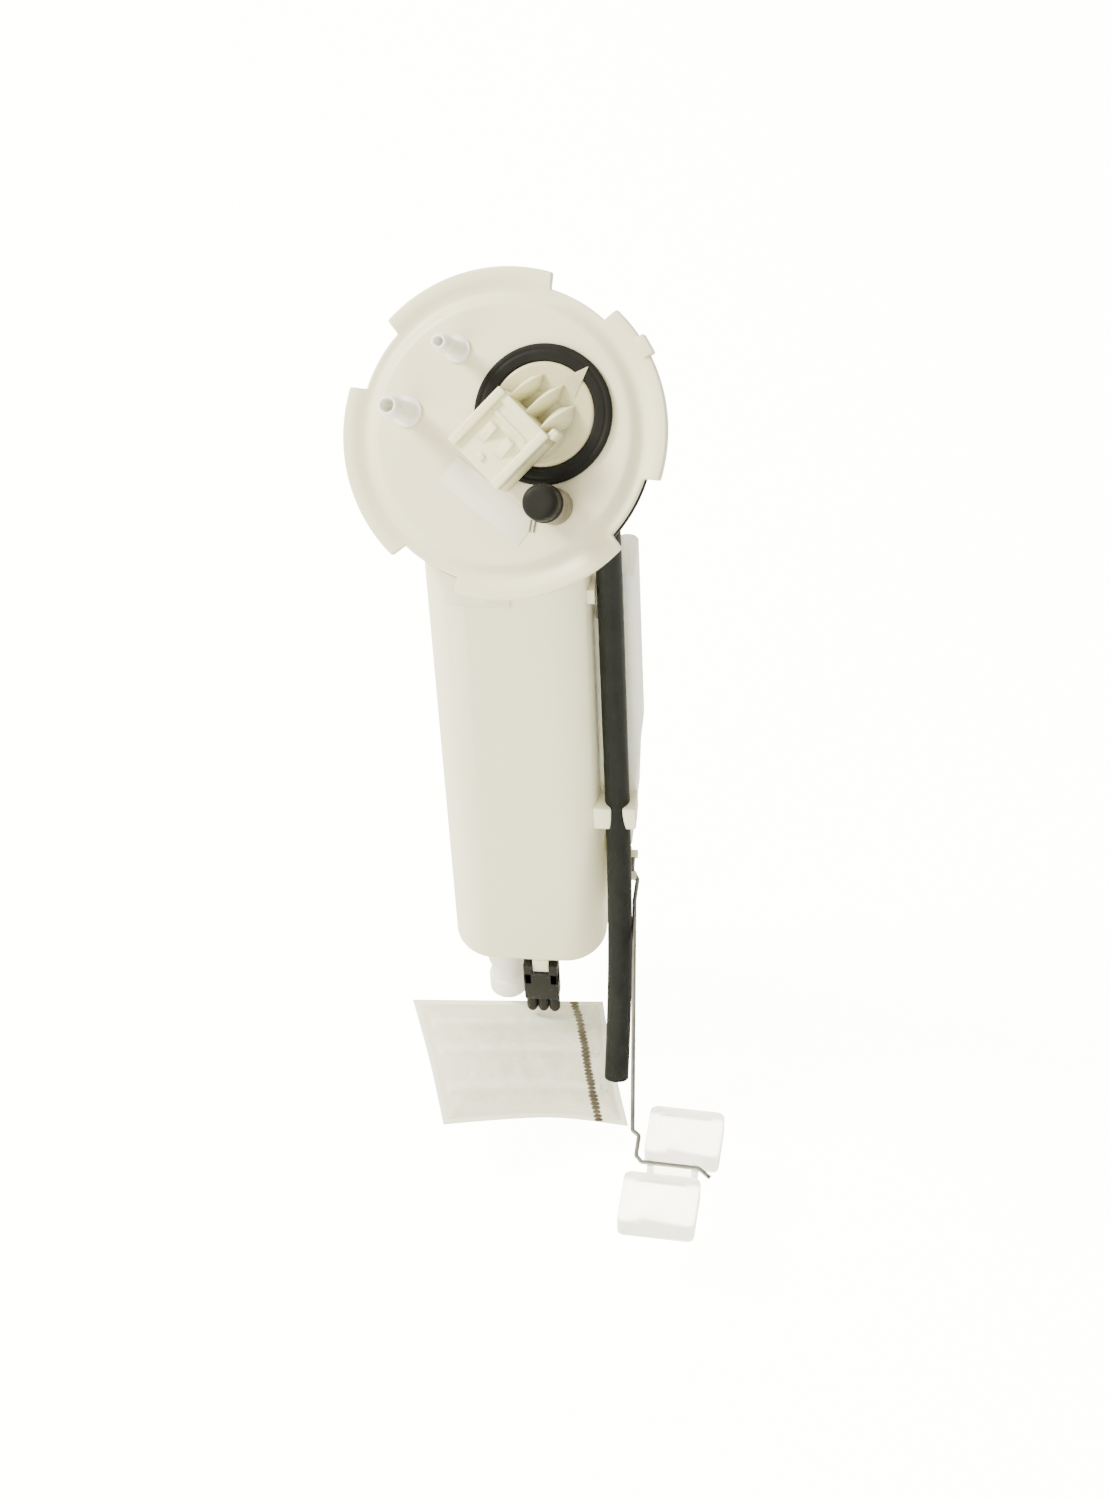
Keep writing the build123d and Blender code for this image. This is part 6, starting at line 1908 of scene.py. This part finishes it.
# ---- Studio ------------------------------------------------------------------------------------
@dataclass
class Studio:
    """The pale floor, the soft lights and the camera at the angle of the first view.

    Args:
        floor_drop: How far the floor lies under the module, in metres.
        floor_half: Half the floor's width.
        light_level: Strength of the white surroundings as a light.
        backdrop: Strength of the white surroundings as they are seen, directly or through clear plastic.
        white: Their colour as they are seen.
        ambient: Their colour as a light.
        warm: Colour of the lamps.
        lamps: Each lamp's name, place, size in metres and power in watts.
        aim: The point that they face.
        lens: The camera's focal length, in millimetres.
        place: The camera's place.
        right: Its direction to the right.
        up: Its upward direction.
        back: The direction that it looks away from.
    """

    floor_drop: float = 0.012
    floor_half: float = 6.0
    light_level: float = 1.3
    backdrop: float = 14.5
    white: Colour = (1.0, 0.99, 0.905)
    ambient: Colour = (1.0, 0.985, 0.84)
    warm: Colour = (1.0, 0.975, 0.84)
    lamps: tuple[tuple[str, Colour, float, float], ...] = (
        ("key_light", (-1.35, 0.1, 1.3), 0.55, 95.0),
        ("fill_light", (-0.75, -1.7, 0.45), 1.3, 42.0),
        ("top_light", (-0.4, 0.9, 1.9), 1.0, 22.0))
    aim: Colour = (0.0, 0.0, -0.12)
    lens: float = 86.4
    place: Colour = (0.16193, -1.05377, 0.91723)
    right: Colour = (0.9942, 0.0992, -0.0405)
    up: Colour = (-0.0432, 0.7168, 0.697)
    back: Colour = (0.0981, -0.6912, 0.717)

    def seen(self, tree: bpy.types.NodeTree, hidden: float, shown: float) -> bpy.types.Node:
        """Makes a value that differs for rays seen directly or through clear plastic.

        Args:
            tree: The node tree that it joins.
            hidden: Value for all other rays.
            shown: Value for those rays.
        Returns:
            The node that holds it in its output "Result".
        """
        path = tree.nodes.new("ShaderNodeLightPath")
        either = tree.nodes.new("ShaderNodeMath")
        either.operation = "MAXIMUM"
        tree.links.new(path.outputs["Is Camera Ray"], either.inputs[0])
        tree.links.new(path.outputs["Is Transmission Ray"], either.inputs[1])
        level = tree.nodes.new("ShaderNodeMapRange")
        level.inputs["To Min"].default_value = hidden
        level.inputs["To Max"].default_value = shown
        tree.links.new(either.outputs[0], level.inputs["Value"])
        return level

    def floor(self) -> None:
        """Lays a wide pale floor under the module, bright as an overexposed paper sweep."""
        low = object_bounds()[0].z - self.floor_drop
        form = bmesh.new()
        half = self.floor_half
        outline = (-half, -half), (half, -half), (half, half), (-half, half)
        form.faces.new([form.verts.new((x, y, low)) for x, y in outline])
        piece = mesh_piece("studio_floor", form, False)
        graph = Graph("studio_paper")
        cloud = graph.noise(3.0)
        tone = graph.mix((cloud, "Fac"), (0.90, 0.90, 0.87), (0.92, 0.92, 0.895))
        graph.link(tone, 2, graph.shader, "Base Color")
        graph.set(Roughness=0.9, Specular_IOR_Level=0.1, Emission_Color=(*self.white, 1.0))
        glow = self.seen(graph.tree, 0.0, self.backdrop - self.light_level)
        graph.link(glow, "Result", graph.shader, "Emission Strength")
        graph.material.cycles.emission_sampling = "NONE"
        piece.data.materials.append(graph.material)
        piece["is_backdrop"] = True

    def lamp(self, name: str, place: Vector, size: float, power: float) -> None:
        """Adds a soft square light that faces the module.

        Args:
            name: The light's name.
            place: Where it stands, in metres.
            size: Its side, in metres.
            power: Its power, in watts.
        """
        data = bpy.data.lights.new(name, "AREA")
        data.shape = "SQUARE"
        data.size = size
        data.energy = power
        data.color = self.warm
        lamp = bpy.data.objects.new(name, data)
        lamp.location = place
        aim = Vector(self.aim) - place
        lamp.rotation_euler = aim.to_track_quat("-Z", "Y").to_euler()
        bpy.context.scene.collection.objects.link(lamp)

    def light(self) -> None:
        """Sets a white sky and three broad lights."""
        world = bpy.data.worlds.new("studio_sky")
        world.use_nodes = True
        tree = world.node_tree
        sky = tree.nodes["Background"]
        level = self.seen(tree, self.light_level, self.backdrop)
        tint = tree.nodes.new("ShaderNodeMix")
        tint.data_type = "RGBA"
        tint.inputs["A"].default_value = (*self.ambient, 1.0)
        tint.inputs["B"].default_value = (*self.white, 1.0)
        tree.links.new(self.seen(tree, 0.0, 1.0).outputs["Result"], tint.inputs["Factor"])
        tree.links.new(tint.outputs[2], sky.inputs["Color"])
        tree.links.new(level.outputs["Result"], sky.inputs["Strength"])
        bpy.context.scene.world = world
        for name, place, size, power in self.lamps:
            self.lamp(name, Vector(place), size, power)

    def camera(self) -> None:
        """Puts the camera before the module, above it and a little to its right."""
        data = bpy.data.cameras.new("main_camera")
        data.lens = self.lens
        data.sensor_width = 36.0
        data.sensor_fit = "AUTO"
        data.clip_start = 0.05
        data.clip_end = 50.0
        camera = bpy.data.objects.new("main_camera", data)
        turned = Matrix((Vector(self.right), Vector(self.up), Vector(self.back))).transposed().to_4x4()
        camera.matrix_world = Matrix.Translation(Vector(self.place)) @ turned
        bpy.context.scene.collection.objects.link(camera)
        bpy.context.scene.camera = camera

    def build(self) -> None:
        """Makes the whole studio."""
        self.camera()
        self.light()
        self.floor()


# ---- Run ---------------------------------------------------------------------------------------
REPLACED = (
    "auxiliary_hose", "strainer_sock", "flange_cover", "feed_pipe", "return_pipe", "vent_sleeve", "vent_cap",
    "connector_seal", "connector_header", "float_shell", "float_lids", "flange_seal", "hose_clip",
    "strainer_neck", "strainer_clip")


def corners(box: tuple[Vector, Vector]) -> list[list[float]]:
    """Returns: a box's two corners as plain lists."""
    return [[float(c) for c in corner] for corner in box]


def main() -> None:
    """Builds the looks in order and reports each piece."""
    logging.basicConfig(level=logging.INFO, format="%(message)s")
    for item in list(bpy.data.objects):
        bpy.data.objects.remove(item)
    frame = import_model()
    palette = Palette()
    CadSkin(palette, hidden=REPLACED).build(frame)
    CoverShell(palette).build()
    RimSeal(palette).build()
    CollarTongue(palette).build()
    PipeStub(palette, "feed_stub", "feed_pipe", (-39.3, 1.7), 3.97).build()
    PipeStub(palette, "return_stub", "return_pipe", (-23.7, 29.0), 3.18).build()
    port = AuxiliaryPort(palette)
    port.build_collar()
    port.build_cap()
    socket = HarnessSocket(palette)
    socket.build_ring()
    socket.build_header()
    HoseHolder(palette).build()
    mount = StrainerMount(palette)
    mount.build_neck()
    mount.build_clip()
    FloatPair(palette).build()
    AuxiliaryHose(palette).build()
    StrainerSock(palette).build()
    Studio().build()
    LOG.info("built")


if __name__ == "__main__":
    main()
